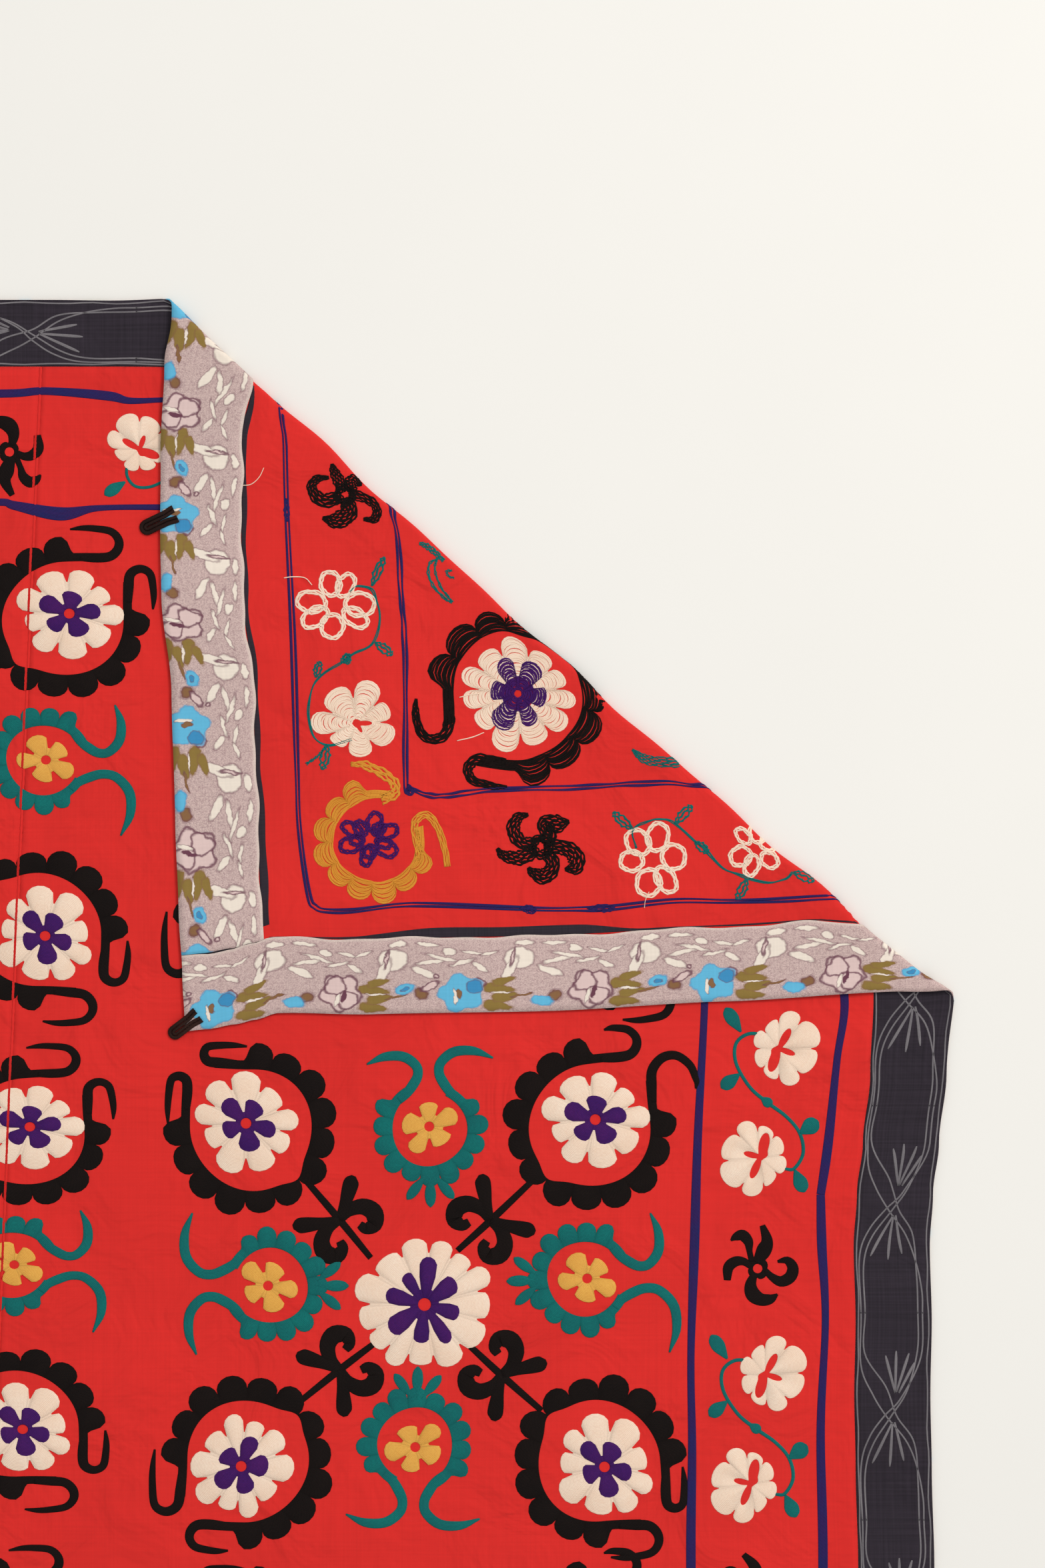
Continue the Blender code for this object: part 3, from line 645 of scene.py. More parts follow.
def thread_material(name, bright, painted_gap_shade_colour, other):
    """Chain stitch in one dyed thread: from tone to tone by the row, with painted shade in the hollows
    between the links. The motifs' threads stop short of the seam, where the cloth's red shows."""
    material, tree, shader = new_material(f"thread_{name}", 0.8, 0.12)
    place = node(tree, "ShaderNodeUVMap", uv_map="cloth")
    stitches = effect(tree, chain, Place=place, Row=STITCH_ROW, Link=STITCH_LINK)
    fibre = node(tree, "ShaderNodeTexNoise", inputs={"Vector": place, "Scale": 420, "Detail": 3})
    where = node(tree, "ShaderNodeTexCoord", out=3)
    batch = node(tree, "ShaderNodeTexNoise", inputs={"Vector": where, "Scale": 34, "Detail": 2})
    tone = math_node(tree, "MULTIPLY_ADD", batch, 1.6, -0.45)
    tone = math_node(tree, "MULTIPLY_ADD", stitches["Shade"], 0.5, tone)
    dyed = mix_colour(tree, tone, linear(*bright), linear(*other))
    # Painted shade: the colour darkens towards its shade colour where the stitches' height is low, in the hollows
    # between rows and links.
    between = math_node(tree, "SUBTRACT", 1, stitches["Height"])
    painted_gap_shade = math_node(tree, "MULTIPLY", between, math_node(tree, "MULTIPLY", fibre, 1.1))
    coloured = mix_colour(tree, painted_gap_shade, dyed, linear(*painted_gap_shade_colour))
    if name in STOPS_AT_SEAM:
        x, y = two_parts(tree, where)
        slant = (SEAM_TOP_X - SEAM_BOTTOM_X) / (TOP_EDGE - BOTTOM_EDGE)
        seam_x = math_node(tree, "MULTIPLY_ADD", y, slant, SEAM_BOTTOM_X - BOTTOM_EDGE * slant)
        from_seam = math_node(tree, "ABSOLUTE", math_node(tree, "SUBTRACT", x, seam_x))
        bare = math_node(tree, "LESS_THAN", from_seam, math_node(tree, "MULTIPLY_ADD", fibre, 0.0010, 0.0005))
        coloured = mix_colour(tree, bare, coloured, linear(206, 38, 34))
    tree.links.new(coloured, shader.inputs["Base Color"])
    relief = node(
        tree, "ShaderNodeBump", inputs={"Strength": 0.6, "Distance": 0.0003, "Height": stitches["Height"]}
    )
    tree.links.new(relief, shader.inputs["Normal"])
    return material


thread_materials = {name: thread_material(name, *row) for name, row in THREADS.items()}
worked = {}


def spline(rows, count):
    """A smooth curve through the rows of a table: Catmull-Rom between them, column by column."""
    rows = np.asarray(rows, float)
    ends = np.concatenate((2 * rows[:1] - rows[1:2], rows, 2 * rows[-1:] - rows[-2:-1]))
    place = np.linspace(0, len(rows) - 1, count)
    index = np.minimum(place.astype(int), len(rows) - 2)
    t = (place - index)[:, None]
    a, b, c, d = (ends[index + step] for step in range(4))
    bend = (2 * a - 5 * b + 4 * c - d) * t**2 + (3 * b - a - 3 * c + d) * t**3
    return 0.5 * (2 * b + (c - a) * t + bend)


def stroke(thread, rows, count=26):
    """A strip along a curve whose table has x, y and half width in mm: middle +- width * normal."""
    curve = spline(rows, count) / 1000
    run = np.gradient(curve[:, :2], axis=0)
    run = run / np.maximum(np.linalg.norm(run, axis=1, keepdims=True), 1e-9)
    normal = np.column_stack((-run[:, 1], run[:, 0]))
    width = np.maximum(curve[:, 2:], 0.0002)
    return thread, curve[:, :2] + normal * width, curve[:, :2] - normal * width, False


def lobes(count, samples):
    """Shares of the way round, closest at the notches between lobes, and sqrt(1-(2s-1)^2) there."""
    inner = (1 - np.cos(math.pi * np.arange(samples) / samples)) / 2
    share = ((np.arange(count)[:, None] + inner[None, :]) / count).ravel()
    return share, np.tile(np.sqrt(np.maximum(1 - (2 * inner - 1) ** 2, 0)), count)


def flower(thread, petals, radius, notch, hole, turn=0.0, slits=(), uneven=0.07, samples=10, blunt=1.0, gap=0.0,
           lean=0.0):
    """A ring round a hole, its outline radius * grown * (1 - notch + notch * lobe^blunt), in mm.

    lobe is sqrt(1 - (2s - 1)^2) across a petal and 0 in the gap, a share of the petal, beside it.
    grown is 1 + uneven * (sin(2.4 * petal + turn) * lobe + sin(2a + turn) / 2) + lean * cos(a), a
    little different for each petal, and the angle a is warped by 0.1 * sin(2a + turn). slits lengthen
    the hole: angle in degrees, reach and spread."""
    share = lobes(petals, samples)[0]
    across = np.clip((share * petals % 1 - gap / 2) / (1 - gap), 0, 1)
    lobe = np.sqrt(1 - (2 * across - 1) ** 2)
    angle = 2 * math.pi * share + 0.10 * np.sin(4 * math.pi * share + turn)
    petal = np.floor(share * petals + 1e-6)
    grown = 1 + uneven * np.sin(2.4 * petal + turn) * lobe + uneven * 0.5 * np.sin(2 * angle + turn)
    grown = grown + lean * np.cos(angle)
    outer = radius * grown * (1 - notch + notch * lobe**blunt)
    inner = np.full_like(angle, float(hole))
    for slit_angle, reach, spread in slits:
        offset = (angle - math.radians(slit_angle) + math.pi) % (2 * math.pi) - math.pi
        inner = inner + reach * np.exp(-((offset / spread) ** 2))
    inner = np.minimum(inner, outer * 0.9)
    angle = angle + math.radians(turn)
    ring = np.column_stack((np.cos(angle), np.sin(angle))) / 1000
    return thread, ring * inner[:, None], ring * outer[:, None], True


def loop_flower(thread, x, y, petals, reach, width, turn, band=2.7):
    """A flower whose petals are rings, in mm: ellipses with a band along their outline, each a
    little different in heading and reach from the last."""
    angle = np.linspace(0, 2 * math.pi, 30, endpoint=False)
    made = []
    for petal in range(petals):
        heading = turn + 360 / petals * petal + 10 * math.sin(2.3 * petal + turn)
        long = reach * (1 + 0.10 * math.sin(1.9 * petal + turn)) * 0.40
        wide = width * (1 + 0.15 * math.sin(2.9 * petal)) / 2
        middle = reach * 0.20 + long
        outer = np.column_stack((middle + long * np.cos(angle), wide * np.sin(angle))) / 1000
        inner = np.column_stack((middle + (long - band) * np.cos(angle), (wide - band) * np.sin(angle))) / 1000
        made += placed([(thread, inner, outer, True)], x, y, heading)
    return made


def horseshoe(thread, inner, base, depth, ends, scallops, opening, pinch=0.0, corner=0.0, samples=9):
    """An open ring whose outer edge is base + depth * lobe, in mm, and ends wide at its two ends.

    The opening faces along X, and opening is half its angle in degrees. Within corner degrees of it
    the ring runs straight on, its radius divided by cos(corner - angle). pinch draws the ring out
    to a point on the far side, where the stem joins it."""
    share, lobe = lobes(scallops, samples)
    share, lobe = np.append(share, 1.0), np.append(lobe, 0.0)
    angle = math.radians(opening) + share * math.radians(360 - 2 * opening)
    grown = 1 + 0.18 * np.sin(2.1 * np.floor(share * scallops + 1e-6))
    far = np.exp(-(((angle - math.pi) / 0.20) ** 2))
    taper = np.minimum(
        ease(share, 1.0 / scallops, 1.35 / scallops), ease(share, 1 - 1.0 / scallops, 1 - 1.35 / scallops)
    )
    hollow = inner * (1 + 0.02 * np.sin(3 * angle)) + pinch * far
    full = base + depth * lobe * grown - pinch * 0.4 * far
    outer = (hollow + ends) * (1 - taper) + full * taper
    from_opening = np.minimum(angle, 2 * math.pi - angle)
    straight = 1 / np.cos(np.maximum(math.radians(corner) - from_opening, 0))
    hollow, outer = hollow * straight, outer * straight
    ring = np.column_stack((np.cos(angle), np.sin(angle))) / 1000
    return thread, ring * hollow[:, None], ring * outer[:, None], False


def polar_stroke(thread, rows, mirror, count=30):
    """A stroke whose table has degrees from the X axis, radius and half width, in mm."""
    angle = np.radians([row[0] for row in rows]) * (-1 if mirror else 1)
    radius = np.array([row[1] for row in rows])
    width = [row[2] for row in rows]
    return stroke(thread, np.column_stack((radius * np.cos(angle), radius * np.sin(angle), width)), count)


def placed(strips, x, y, turn=0.0, wide=1.0, tall=1.0):
    """Strips turned in degrees, stretched in X and Y, and moved to a place in mm."""
    cosine, sine = math.cos(math.radians(turn)), math.sin(math.radians(turn))
    matrix = np.array(((cosine * wide, sine * tall), (-sine * wide, cosine * tall)))
    shift = np.array((x, y)) / 1000
    return [(thread, a @ matrix + shift, b @ matrix + shift, closed) for thread, a, b, closed in strips]


PAD_PROFILE = np.array((
    # side, how far in from the outline as a share of the shoulder, height
    (0, 0.0, -0.3), (0, 0.0, 0.35), (0, 1.0, 0.90), (1, 1.0, 0.90), (1, 0.0, 0.35), (1, 0.0, -0.3),
))
SHOULDER = 0.0009


def on_front(x, y, rise):
    """A point on the ground's front face, raised by rise."""
    return folded(x, y, ground_lift(x, y) + CLOTH_THICK + rise)


def on_back(x, y, rise):
    """A point on the ground's back face, raised by rise away from it."""
    return folded(x, y, ground_lift(x, y) - rise)


def pad(strip_made, height, carry, group):
    """Close a strip into a thin pad: a profile with round shoulders, from outline to outline."""
    thread, left, right, closed = strip_made
    width = np.linalg.norm(right - left, axis=1)
    inset = np.minimum(SHOULDER / np.maximum(width, 1e-6), 0.3)[:, None] * PAD_PROFILE[None, :, 1]
    across = np.where(PAD_PROFILE[None, :, 0] > 0, 1 - inset, inset)
    place = left[:, None, :] * (1 - across[..., None]) + right[:, None, :] * across[..., None]
    rise = np.broadcast_to(PAD_PROFILE[None, :, 2] * height, across.shape)
    points = np.stack(carry(place[..., 0], place[..., 1], rise), -1)
    middle = (left + right) / 2
    step = np.linalg.norm(np.diff(middle, axis=0), axis=1)
    run = np.concatenate(((0,), np.cumsum(step)))
    uv = np.stack((np.repeat(run[:, None], len(PAD_PROFILE), 1), (across - 1) * width[:, None]), -1)
    rows, columns = across.shape
    index = np.arange(rows * columns).reshape(rows, columns)
    ahead = np.roll(index, -1, 0) if closed else index[1:]
    here = index if closed else index[:-1]
    quads = np.stack((here, np.roll(here, -1, 1), np.roll(ahead, -1, 1), ahead), -1).reshape(-1, 4)
    caps = [] if closed else [index[0][::-1].tolist(), index[-1].tolist()]
    worked.setdefault((group, thread), []).append((points.reshape(-1, 3), quads, caps, uv.reshape(-1, 2)))


PAD_HEIGHT = {"black": 0.00050, "teal": 0.00058, "guard": 0.00045, "cream": 0.00068, "purple": 0.00095}


def sew(strips):
    """Work strips on the front of the ground; purple lies on cream, so it is a little higher."""
    for number, strip_made in enumerate(strips):
        pad(strip_made, PAD_HEIGHT.get(strip_made[0], 0.0006) + 0.000005 * (number % 64), on_front, "front")


# The guard lines: rows of chain stitch in purple and navy that frame the side band, worked freehand
# through both loom widths.

GUARD_LINES = (
    # x, y, half width in mm
    ((588, 93, 3.6), (589, 49, 3.6), (592, -15, 3.6), (588, -109, 3.6), (590, -226, 3.6), (588, -420, 3.6),
     (590, -600, 3.6), (588, -776, 3.6)),
    ((598, 320, 3.6), (609, 261, 3.6), (602, 207, 3.6), (594, 134, 3.6), (588, 93, 3.6)),
    ((489, 300, 3.6), (489, 256, 3.6), (483, 144, 3.6), (480, 49, 3.6), (477, -46, 3.6), (478, -125, 3.6),
     (477, -226, 3.6), (480, -400, 3.6), (477, -560, 3.6), (479, -682, 3.6)),
    ((-606, 776, 3.6), (-420, 774, 3.6), (-250, 778, 3.6), (-114, 778, 3.6), (-75, 780, 3.9), (-22, 776, 3.6),
     (-3, 772, 2.8), (26, 773, 2.6), (60, 774, 3.0)),
    ((-496, 682, 3.6), (-300, 685, 3.6), (-160, 682, 3.6), (-114, 685, 3.6), (-101, 682, 4.0), (-62, 675, 5.0),
     (-30, 680, 3.0), (23, 681, 2.6), (90, 680, 3.0)),
    ((-606, 776, 3.6), (-608, 400, 3.6), (-604, 0, 3.6), (-609, -400, 3.6), (-606, -776, 3.6)),
    ((-606, -776, 3.6), (-300, -774, 3.6), (0, -778, 3.6), (300, -774, 3.6), (588, -776, 3.6)),
    ((-496, 682, 3.6), (-499, 300, 3.6), (-495, 0, 3.6), (-498, -350, 3.6), (-496, -682, 3.6)),
    ((-496, -682, 3.6), (-200, -680, 3.6), (100, -684, 3.6), (300, -681, 3.6), (479, -682, 3.6)),
)
guards = []
for number, rows in enumerate(GUARD_LINES):
    line = np.array([(x, y, w * (1 + 0.16 * math.sin(2.1 * n + number))) for n, (x, y, w) in enumerate(rows)])
    guards.append(stroke("guard", line, 160))
sew(guards)


# The medallions: a cream flower with four rosettes in black scalloped horseshoes round it, and four
# yellow flowers in teal ones, joined by black leafy stems. Two by three of them fill the field.

TEAL_FLARE = (
    # degrees from the opening, radius over the ring's middle line, half width, in mm
    (46, 0, 3.9), (32, 0, 4.1), (19, 5, 4.4), (11, 13, 4.2), (11, 23, 4.2), (19, 35, 4.3), (31, 43, 3.7), (43, 48, 0.8),
)
CURLED_LEAF = (
    # forward along the stem, sideways, half width, in mm
    (0, 1, 3.6), (-1, 12, 5.4), (4, 23, 7.0), (14, 27, 7.8), (22, 21, 6.8), (20, 13, 5.0), (14, 11, 3.4),
)
CLUB_LEAF = (
    # forward along the stem, sideways, half width, in mm
    (0, 0, 3.6), (-7, 12, 4.8), (-15, 24, 6.6), (-19, 30, 6.2), (-21, 34, 2.0),
)
ROSETTES = (
    # x, y from the unit's middle in mm, petals, turn, opening's heading
    (-150.0, 152.0, 9, 15, 133),
    (143.6, 155.0, 9, 50, 51),
    (-153.9, -135.7, 10, 80, 222),
    (151.0, -136.2, 9, 120, 318),
)
BLACK_HOOKS = {
    # for each rosette above: how far out and how far back each of its two hooks turns, in mm
    "right": ((16, 34, 15, 30), (25, 16, 38, 14), (22, 24, 24, 42), (16, 28, 27, 30)),
    "left": ((16, 34, 15, 30), (27, 30, 21, 28), (22, 24, 24, 42), (20, 30, 28, 30)),
}
YELLOW_FLOWERS = (
    # x, y from the unit's middle in mm, opening's heading, turn, sizes of the two flares
    (4.0, 152.2, 91, 60, 0.85, 0.95),
    (-133.9, 16.0, 180, 30, 1.05, 1.15),
    (139.1, 22.2, 2, 10, 0.9, 1.25),
    (-8.0, -122.0, 268, 80, 1.0, 1.0),
)
STEMS = (
    # x, y of the joint, heading of the flower in the middle, length behind and ahead
    (-73.0, 72.0, -50, 46, 42),
    (56.0, 72.0, 223, 50, 38),
    (-72.0, -56.0, 38, 46, 38),
    (66.0, -60.0, 138, 46, 38),
)
RINGS = {
    # inner, base, depth, ends, scallops, opening, pinch, corner, in mm and degrees
    "black": (52.0, 62.0, 12.0, 7.6, 14, 12, 6.0, 45),
    "teal": (32.0, 40.0, 9.5, 8.4, 13, 27),
}


def rosette(petals, turn):
    """A cream flower with a smaller purple one on it, round a red eye."""
    return [
        flower("cream", petals, 42.5, 0.30, 5.0, turn, uneven=0.09, blunt=0.7, gap=0.05),
        flower("purple", 5, 24.5, 0.60, 4.6, turn + 20, uneven=0.14, samples=13, blunt=0.45, gap=0.20),
    ]


def turned_hooks(thread, middle, half, corner, opening, turns):
    """The two ends of a ring that runs on straight, each turned outwards and back beside itself.

    A table has places along the ring's line past its end, and out from it, as shares of how far out
    the hook turns; past the turn it goes back by its own length."""
    angle, made = math.radians(corner), []
    end = middle * math.tan(math.radians(corner - opening))
    for mirror, out, back in ((1, *turns[:2]), (-1, *turns[2:])):
        rows = np.array((
            (-22, 0, 0.6), (-8, 0, 0.95), (out * 0.15, out * 0.05, 0.95), (out * 0.40, out * 0.30, 0.9),
            (out * 0.42, out * 0.62, 0.82), (out * 0.18, out * 0.90, 0.76), (-back * 0.3, out * 1.0, 0.68),
            (-back * 0.65, out * 1.02, 0.55), (-back, out * 0.98, 0.2),
        ))
        along, away = end + rows[:, 0], middle + rows[:, 1]
        x = away * math.cos(angle) + along * math.sin(angle)
        y = (away * math.sin(angle) - along * math.cos(angle)) * mirror
        made.append(stroke(thread, np.column_stack((x, y, rows[:, 2] * half)), 40))
    return made


def hooks(thread, rows, middle, sizes):
    """The two ends that an open ring runs out in, one each side of the opening along X."""
    made = []
    for mirror, size in zip((False, True), sizes):
        made.append(polar_stroke(thread, [(a, middle + r * size, w) for a, r, w in rows], mirror))
    return made


def stem(x, y, heading, before, after):
    """A stem with a pair of curled leaves and a pair of club-shaped ones, at its joint."""
    parts = [stroke("black", ((-before, 0, 2.6), (0, 0.5, 3.2), (after, 0, 2.6)), 14)]
    for mirror in (1, -1):
        parts.append(stroke("black", [(f, s * mirror, w) for f, s, w in CURLED_LEAF], 26))
        parts.append(stroke("black", [(f, s * mirror, w) for f, s, w in CLUB_LEAF], 14))
    return placed(parts, x, y, heading)


def leaf(thread, from_x, from_y, to_x, to_y, width):
    """A pointed leaf from its stalk to its tip, widest a little past the middle."""
    rows = [(from_x + (to_x - from_x) * t, from_y + (to_y - from_y) * t, width * w)
            for t, w in ((0, 0.15), (0.25, 0.6), (0.55, 1.0), (0.85, 0.8), (1.0, 0.15))]
    return stroke(thread, rows, 12)


CROWN = ((-40, 0, -67, 0, 4.8), (-40, 4, -60, 20, 4.4), (-40, -4, -60, -20, 4.4))


def ring_off_middle(strips, x, y, heading, back):
    """Strips round a flower, set back from it in mm, away from the opening."""
    shift_x, shift_y = math.cos(math.radians(heading)) * back, math.sin(math.radians(heading)) * back
    return placed(strips, x - shift_x, y - shift_y, heading)


def medallion(black_hooks):
    """All strips of one medallion, round its middle."""
    parts = []
    for row in STEMS:
        parts += stem(*row)
    parts.append(flower("cream", 13, 57.0, 0.20, 6.0, 8, uneven=0.06, blunt=0.7, gap=0.05))
    parts.append(flower("purple", 8, 35.5, 0.62, 5.5, 12, uneven=0.12, samples=13, blunt=0.45, gap=0.24))
    for (x, y, petals, turn, heading), turns in zip(ROSETTES, black_hooks):
        ring = [horseshoe("black", *RINGS["black"])]
        ring += turned_hooks("black", 56.0, 4.5, 45, 12, turns)
        parts += ring_off_middle(rosette(petals, turn), x, y, heading, -4)
        parts += ring_off_middle(ring, x, y, heading, 3)
    for x, y, heading, turn, *sizes in YELLOW_FLOWERS:
        blossom = flower("yellow", 5, 23.5, 0.52, 4.2, turn, uneven=0.14, samples=12, blunt=0.5, gap=0.16)
        parts += placed([blossom], x, y)
        ring = [horseshoe("teal", *RINGS["teal"])] + hooks("teal", TEAL_FLARE, 36.0, sizes)
        ring += [leaf("teal", *row) for row in CROWN]
        parts += ring_off_middle(ring, x, y, heading, 2)
    return parts


UNITS = (
    # x, y in mm, turn in degrees, width, height, the side of the seam
    (249.1, -1.1, 0, 1.0, 1.0, "right"),
    (-241.9, 19.3, -2.7, 1.0, 0.871, "left"),
    (-215.4, 456.4, -5.5, 1.0, 0.93, "left"),
    (259.3, 458.8, 0, 1.0, 1.0, "right"),
    (249.1, -448.6, 0, 1.0, 1.0, "right"),
    (-250.0, -421.0, -1, 1.0, 0.90, "left"),
)
for unit_x, unit_y, unit_turn, unit_wide, unit_tall, seam_side in UNITS:
    sew(placed(medallion(BLACK_HOOKS[seam_side]), unit_x, unit_y, unit_turn, unit_wide, unit_tall))


# The side band: pairs of cream flowers on a teal vine, a black whirl of curled leaves between them
# and an orange horseshoe in each corner, all worked between the guard lines.

VINE = (
    # x, y, half width in mm
    (2, 48, 1.3), (-3.4, 57.0, 1.4), (-17.7, 59.8, 1.5), (-29.1, 51.3, 1.5), (-29.1, 34.2, 1.5), (-17.7, 14.2, 1.5),
    (-3.4, 1.4, 1.6), (13.7, -11.4, 1.5), (25.1, -25.6, 1.5), (27.9, -42.7, 1.5), (20.4, -55.6, 1.5),
    (12.5, -56.0, 1.3),
)
VINE_LEAVES = (
    # from x, y to x, y, half width, in mm
    (-24.8, 61.3, -38.0, 82.0, 6.0),
    (-26.2, 25.1, -42.0, 13.0, 6.0),
    (25.1, -25.6, 41.0, -15.0, 7.2),
    (20.8, -57.0, 29.4, -76.0, 6.2),
    (-8.0, 5.0, 1.5, -2.0, 4.4),
)
FLOWER_SLITS = ((60, 17.0, 0.36), (250, 18.0, 0.42), (340, 12.0, 0.36), (200, 4.0, 0.6))
WHIRL_LEAVES = (
    # x, y, half width in mm, for each of five uneven leaves
    ((-1, 5, 3.6), (5, 15, 6.4), (8, 24, 4.9), (4, 37, 2.4)),
    ((-5, 6, 2.6), (-7, 15, 2.6), (-8, 23, 4.2), (-13, 28.5, 4.8), (-19, 27, 3.4), (-23, 24, 0.8)),
    ((-6, 2, 2.6), (-12, 6, 3.4), (-19, 6, 4.4), (-25, 1, 4.6), (-26, -10, 3.0)),
    ((-3, -5, 2.8), (-6, -14, 5.0), (-4, -22, 6.4), (3, -26.5, 5.4), (11, -26, 4.2), (17, -22, 1.0)),
    ((6, -1, 2.4), (12, -7, 3.2), (20, -11, 4.6), (28, -7, 5.2), (30, 1, 4.8), (25, 7, 3.4), (17, 6, 1.2)),
)


def band_group():
    """Two flowers, the vine that joins them, and its leaves."""
    parts = [stroke("teal", VINE, 70)] + [leaf("teal", *row) for row in VINE_LEAVES]
    for x, y, turn in ((7.5, 47.0, 0), (-8.5, -46.0, 186)):
        blossom = flower("cream", 8, 29.5, 0.26, 2.8, 0, FLOWER_SLITS, 0.08, 14, 0.7, 0.05, 0.27)
        parts += placed([blossom], x, y, turn)
    return parts


def whirl():
    """Five curled leaves of different lengths round a small open ring."""
    return [flower("black", 4, 9.5, 0.2, 4.0, 0)] + [stroke("black", rows, 26) for rows in WHIRL_LEAVES]


def corner():
    """An orange horseshoe round a purple flower."""
    ring = [horseshoe("orange", 35.0, 43.0, 10.0, 7.0, 10, 30)] + hooks("orange", TEAL_FLARE, 39.0, (0.5, 0.6))
    return ring + [flower("purple", 6, 27.0, 0.55, 3.0, 10, samples=8, blunt=0.7)]


BAND_MOTIFS = {"group": band_group(), "whirl": whirl(), "corner": corner()}
BAND_ITEMS = (
    # kind, x, y in mm, turn, size
    ("group", 544.9, 171.0, 0, 1.0),
    ("whirl", 534.1, 29.6, 0, 1.0),
    ("group", 535.0, -108.0, 2, 1.0),
    ("whirl", 534.0, -250.0, 25, 1.0),
    ("group", 534.0, -390.0, 0, 1.0),
    ("whirl", 534.0, -530.0, -14, 1.0),
    ("group", 46.0, 724.0, 90, 0.86),
    ("whirl", -106.0, 728.0, 190, 1.0),
    ("group", -255.0, 729.0, 90, 1.0),
    ("whirl", -395.0, 729.0, 20, 1.0),
    ("group", -552.0, 500.0, 180, 1.0),
    ("whirl", -552.0, 355.0, 40, 1.0),
    ("group", -552.0, 210.0, 180, 1.0),
    ("whirl", -552.0, 65.0, -20, 1.0),
    ("group", -552.0, -80.0, 180, 1.0),
    ("whirl", -552.0, -225.0, 160, 1.0),
    ("group", -552.0, -370.0, 180, 1.0),
    ("whirl", -552.0, -515.0, 8, 1.0),
    ("group", -385.0, -729.0, 270, 1.0),
    ("whirl", -240.0, -729.0, 30, 1.0),
    ("group", -95.0, -729.0, 270, 1.0),
    ("whirl", 50.0, -729.0, 140, 1.0),
    ("group", 195.0, -729.0, 270, 1.0),
    ("whirl", 340.0, -729.0, -35, 1.0),
    ("corner", -552.0, 729.0, -45, 1.0),
    ("corner", -552.0, -729.0, 45, 1.0),
    ("corner", 534.0, -729.0, 135, 1.0),
)
for kind, item_x, item_y, item_turn, size in BAND_ITEMS:
    sew(placed(BAND_MOTIFS[kind], item_x, item_y, item_turn, size, size))


# The border's stitching: thin grey rows that run along both edges of the black cotton, cross over at
# intervals, and fan out in long open stitches on both sides of each crossing.

BORDER_LEVEL = 2 * CLOTH_THICK + GAP
CROSSING_PITCH = 177.0
CROSSING_LINES = (
    # along, across from the border's inner edge, in mm, for each line from one side to the other
    ((-89, 8), (-54, 8), (-25, 27), (0, 36), (22, 50), (56, 53), (89, 53)),
    ((-89, 4.5), (-44, 5), (-18, 16), (0, 27), (22, 44), (46, 53), (70, 57), (89, 57)),
    ((-89, 53), (-56, 53), (-22, 45), (0, 31), (24, 15), (48, 8), (89, 8)),
    ((-89, 57), (-50, 56), (-16, 40), (0, 25), (18, 12), (42, 4.5), (89, 4.5)),
)
FANS = (
    # along and across of the root, then of the tip, in mm
    (-20, 35, -52, 26), (-20, 35, -56, 35), (-21, 36, -54, 46), (-20, 38, -46, 51),
    (5, 32, 40, 14), (6, 32, 43, 29), (5, 34, 38, 41),
)
BORDER_SIDES = (
    # side, origin of along and across in mm, heading of along, low and high end of along, phase
    ("right", (RIGHT_EDGE - SIDE_BORDER) * 1000, 0, -90, -330, 858, -80.4),
    ("top", 0, (TOP_EDGE - TOP_BORDER) * 1000, 0, -635, 60, -86.0),
    ("left", (LEFT_EDGE + SIDE_BORDER) * 1000, 0, 90, -858, 857, 40.0),
    ("bottom", 0, (BOTTOM_EDGE + TOP_BORDER) * 1000, 180, -618, 635, 0.0),
)


def on_border(x, y, rise):
    """A point on the border's front face, raised by rise; x is still where it was cut."""
    return folded(swing(x, y), y, BORDER_LEVEL + rise)


def cut_off(strip_made, low, high):
    """A strip without what lies outside low and high along X, in mm."""
    thread, left, right, closed = strip_made
    kept = (left[:, 0] > low / 1000) & (left[:, 0] < high / 1000)
    return thread, left[kept], right[kept], closed


def border_rows(low, high, phase, squeeze):
    """Strips for one side: two edge rows, and the crossing rows and fans at each whole pitch."""
    rows = []
    along = np.arange(low, high + 1, 20.0)
    for across, amount in ((2.4, 0.5), (62.0, 0.7)):
        wander = across * squeeze + amount * np.sin(along * 0.11 + across)
        rows.append(stroke("grey", np.column_stack((along, wander, np.full_like(along, 0.7))), len(along) * 2))
    first = math.floor((low - phase) / CROSSING_PITCH)
    last = math.ceil((high - phase) / CROSSING_PITCH)
    for number in range(first, last + 1):
        middle = phase + number * CROSSING_PITCH
        for line in CROSSING_LINES:
            row = stroke("grey", [(a + middle, c * squeeze, 0.75) for a, c in line], 44)
            rows.append(cut_off(row, low, high))
        for root_along, root_across, tip_along, tip_across in FANS:
            if low < middle + tip_along < high:
                reach = ((0, 0.8), (0.4, 1.2), (0.8, 1.3), (1.0, 0.6))
                table = [(middle + root_along + (tip_along - root_along) * t,
                          (root_across + (tip_across - root_across) * t) * squeeze, w) for t, w in reach]
                rows.append(stroke("grey", table, 8))
    return [row for row in rows if len(row[1]) > 1]


for side_name, origin_x, origin_y, heading, low, high, phase in BORDER_SIDES:
    squeeze = TOP_BORDER / SIDE_BORDER if side_name in ("top", "bottom") else 1.0
    for strip_made in placed(border_rows(low, high, phase, squeeze), origin_x, origin_y, heading):
        pad(strip_made, 0.0004, on_border, "border")


# The back of the turned corner: there each motif shows the wrong side of its stitches, loose rows of
# thread with red cloth between them. Their places are those seen on the corner from above.

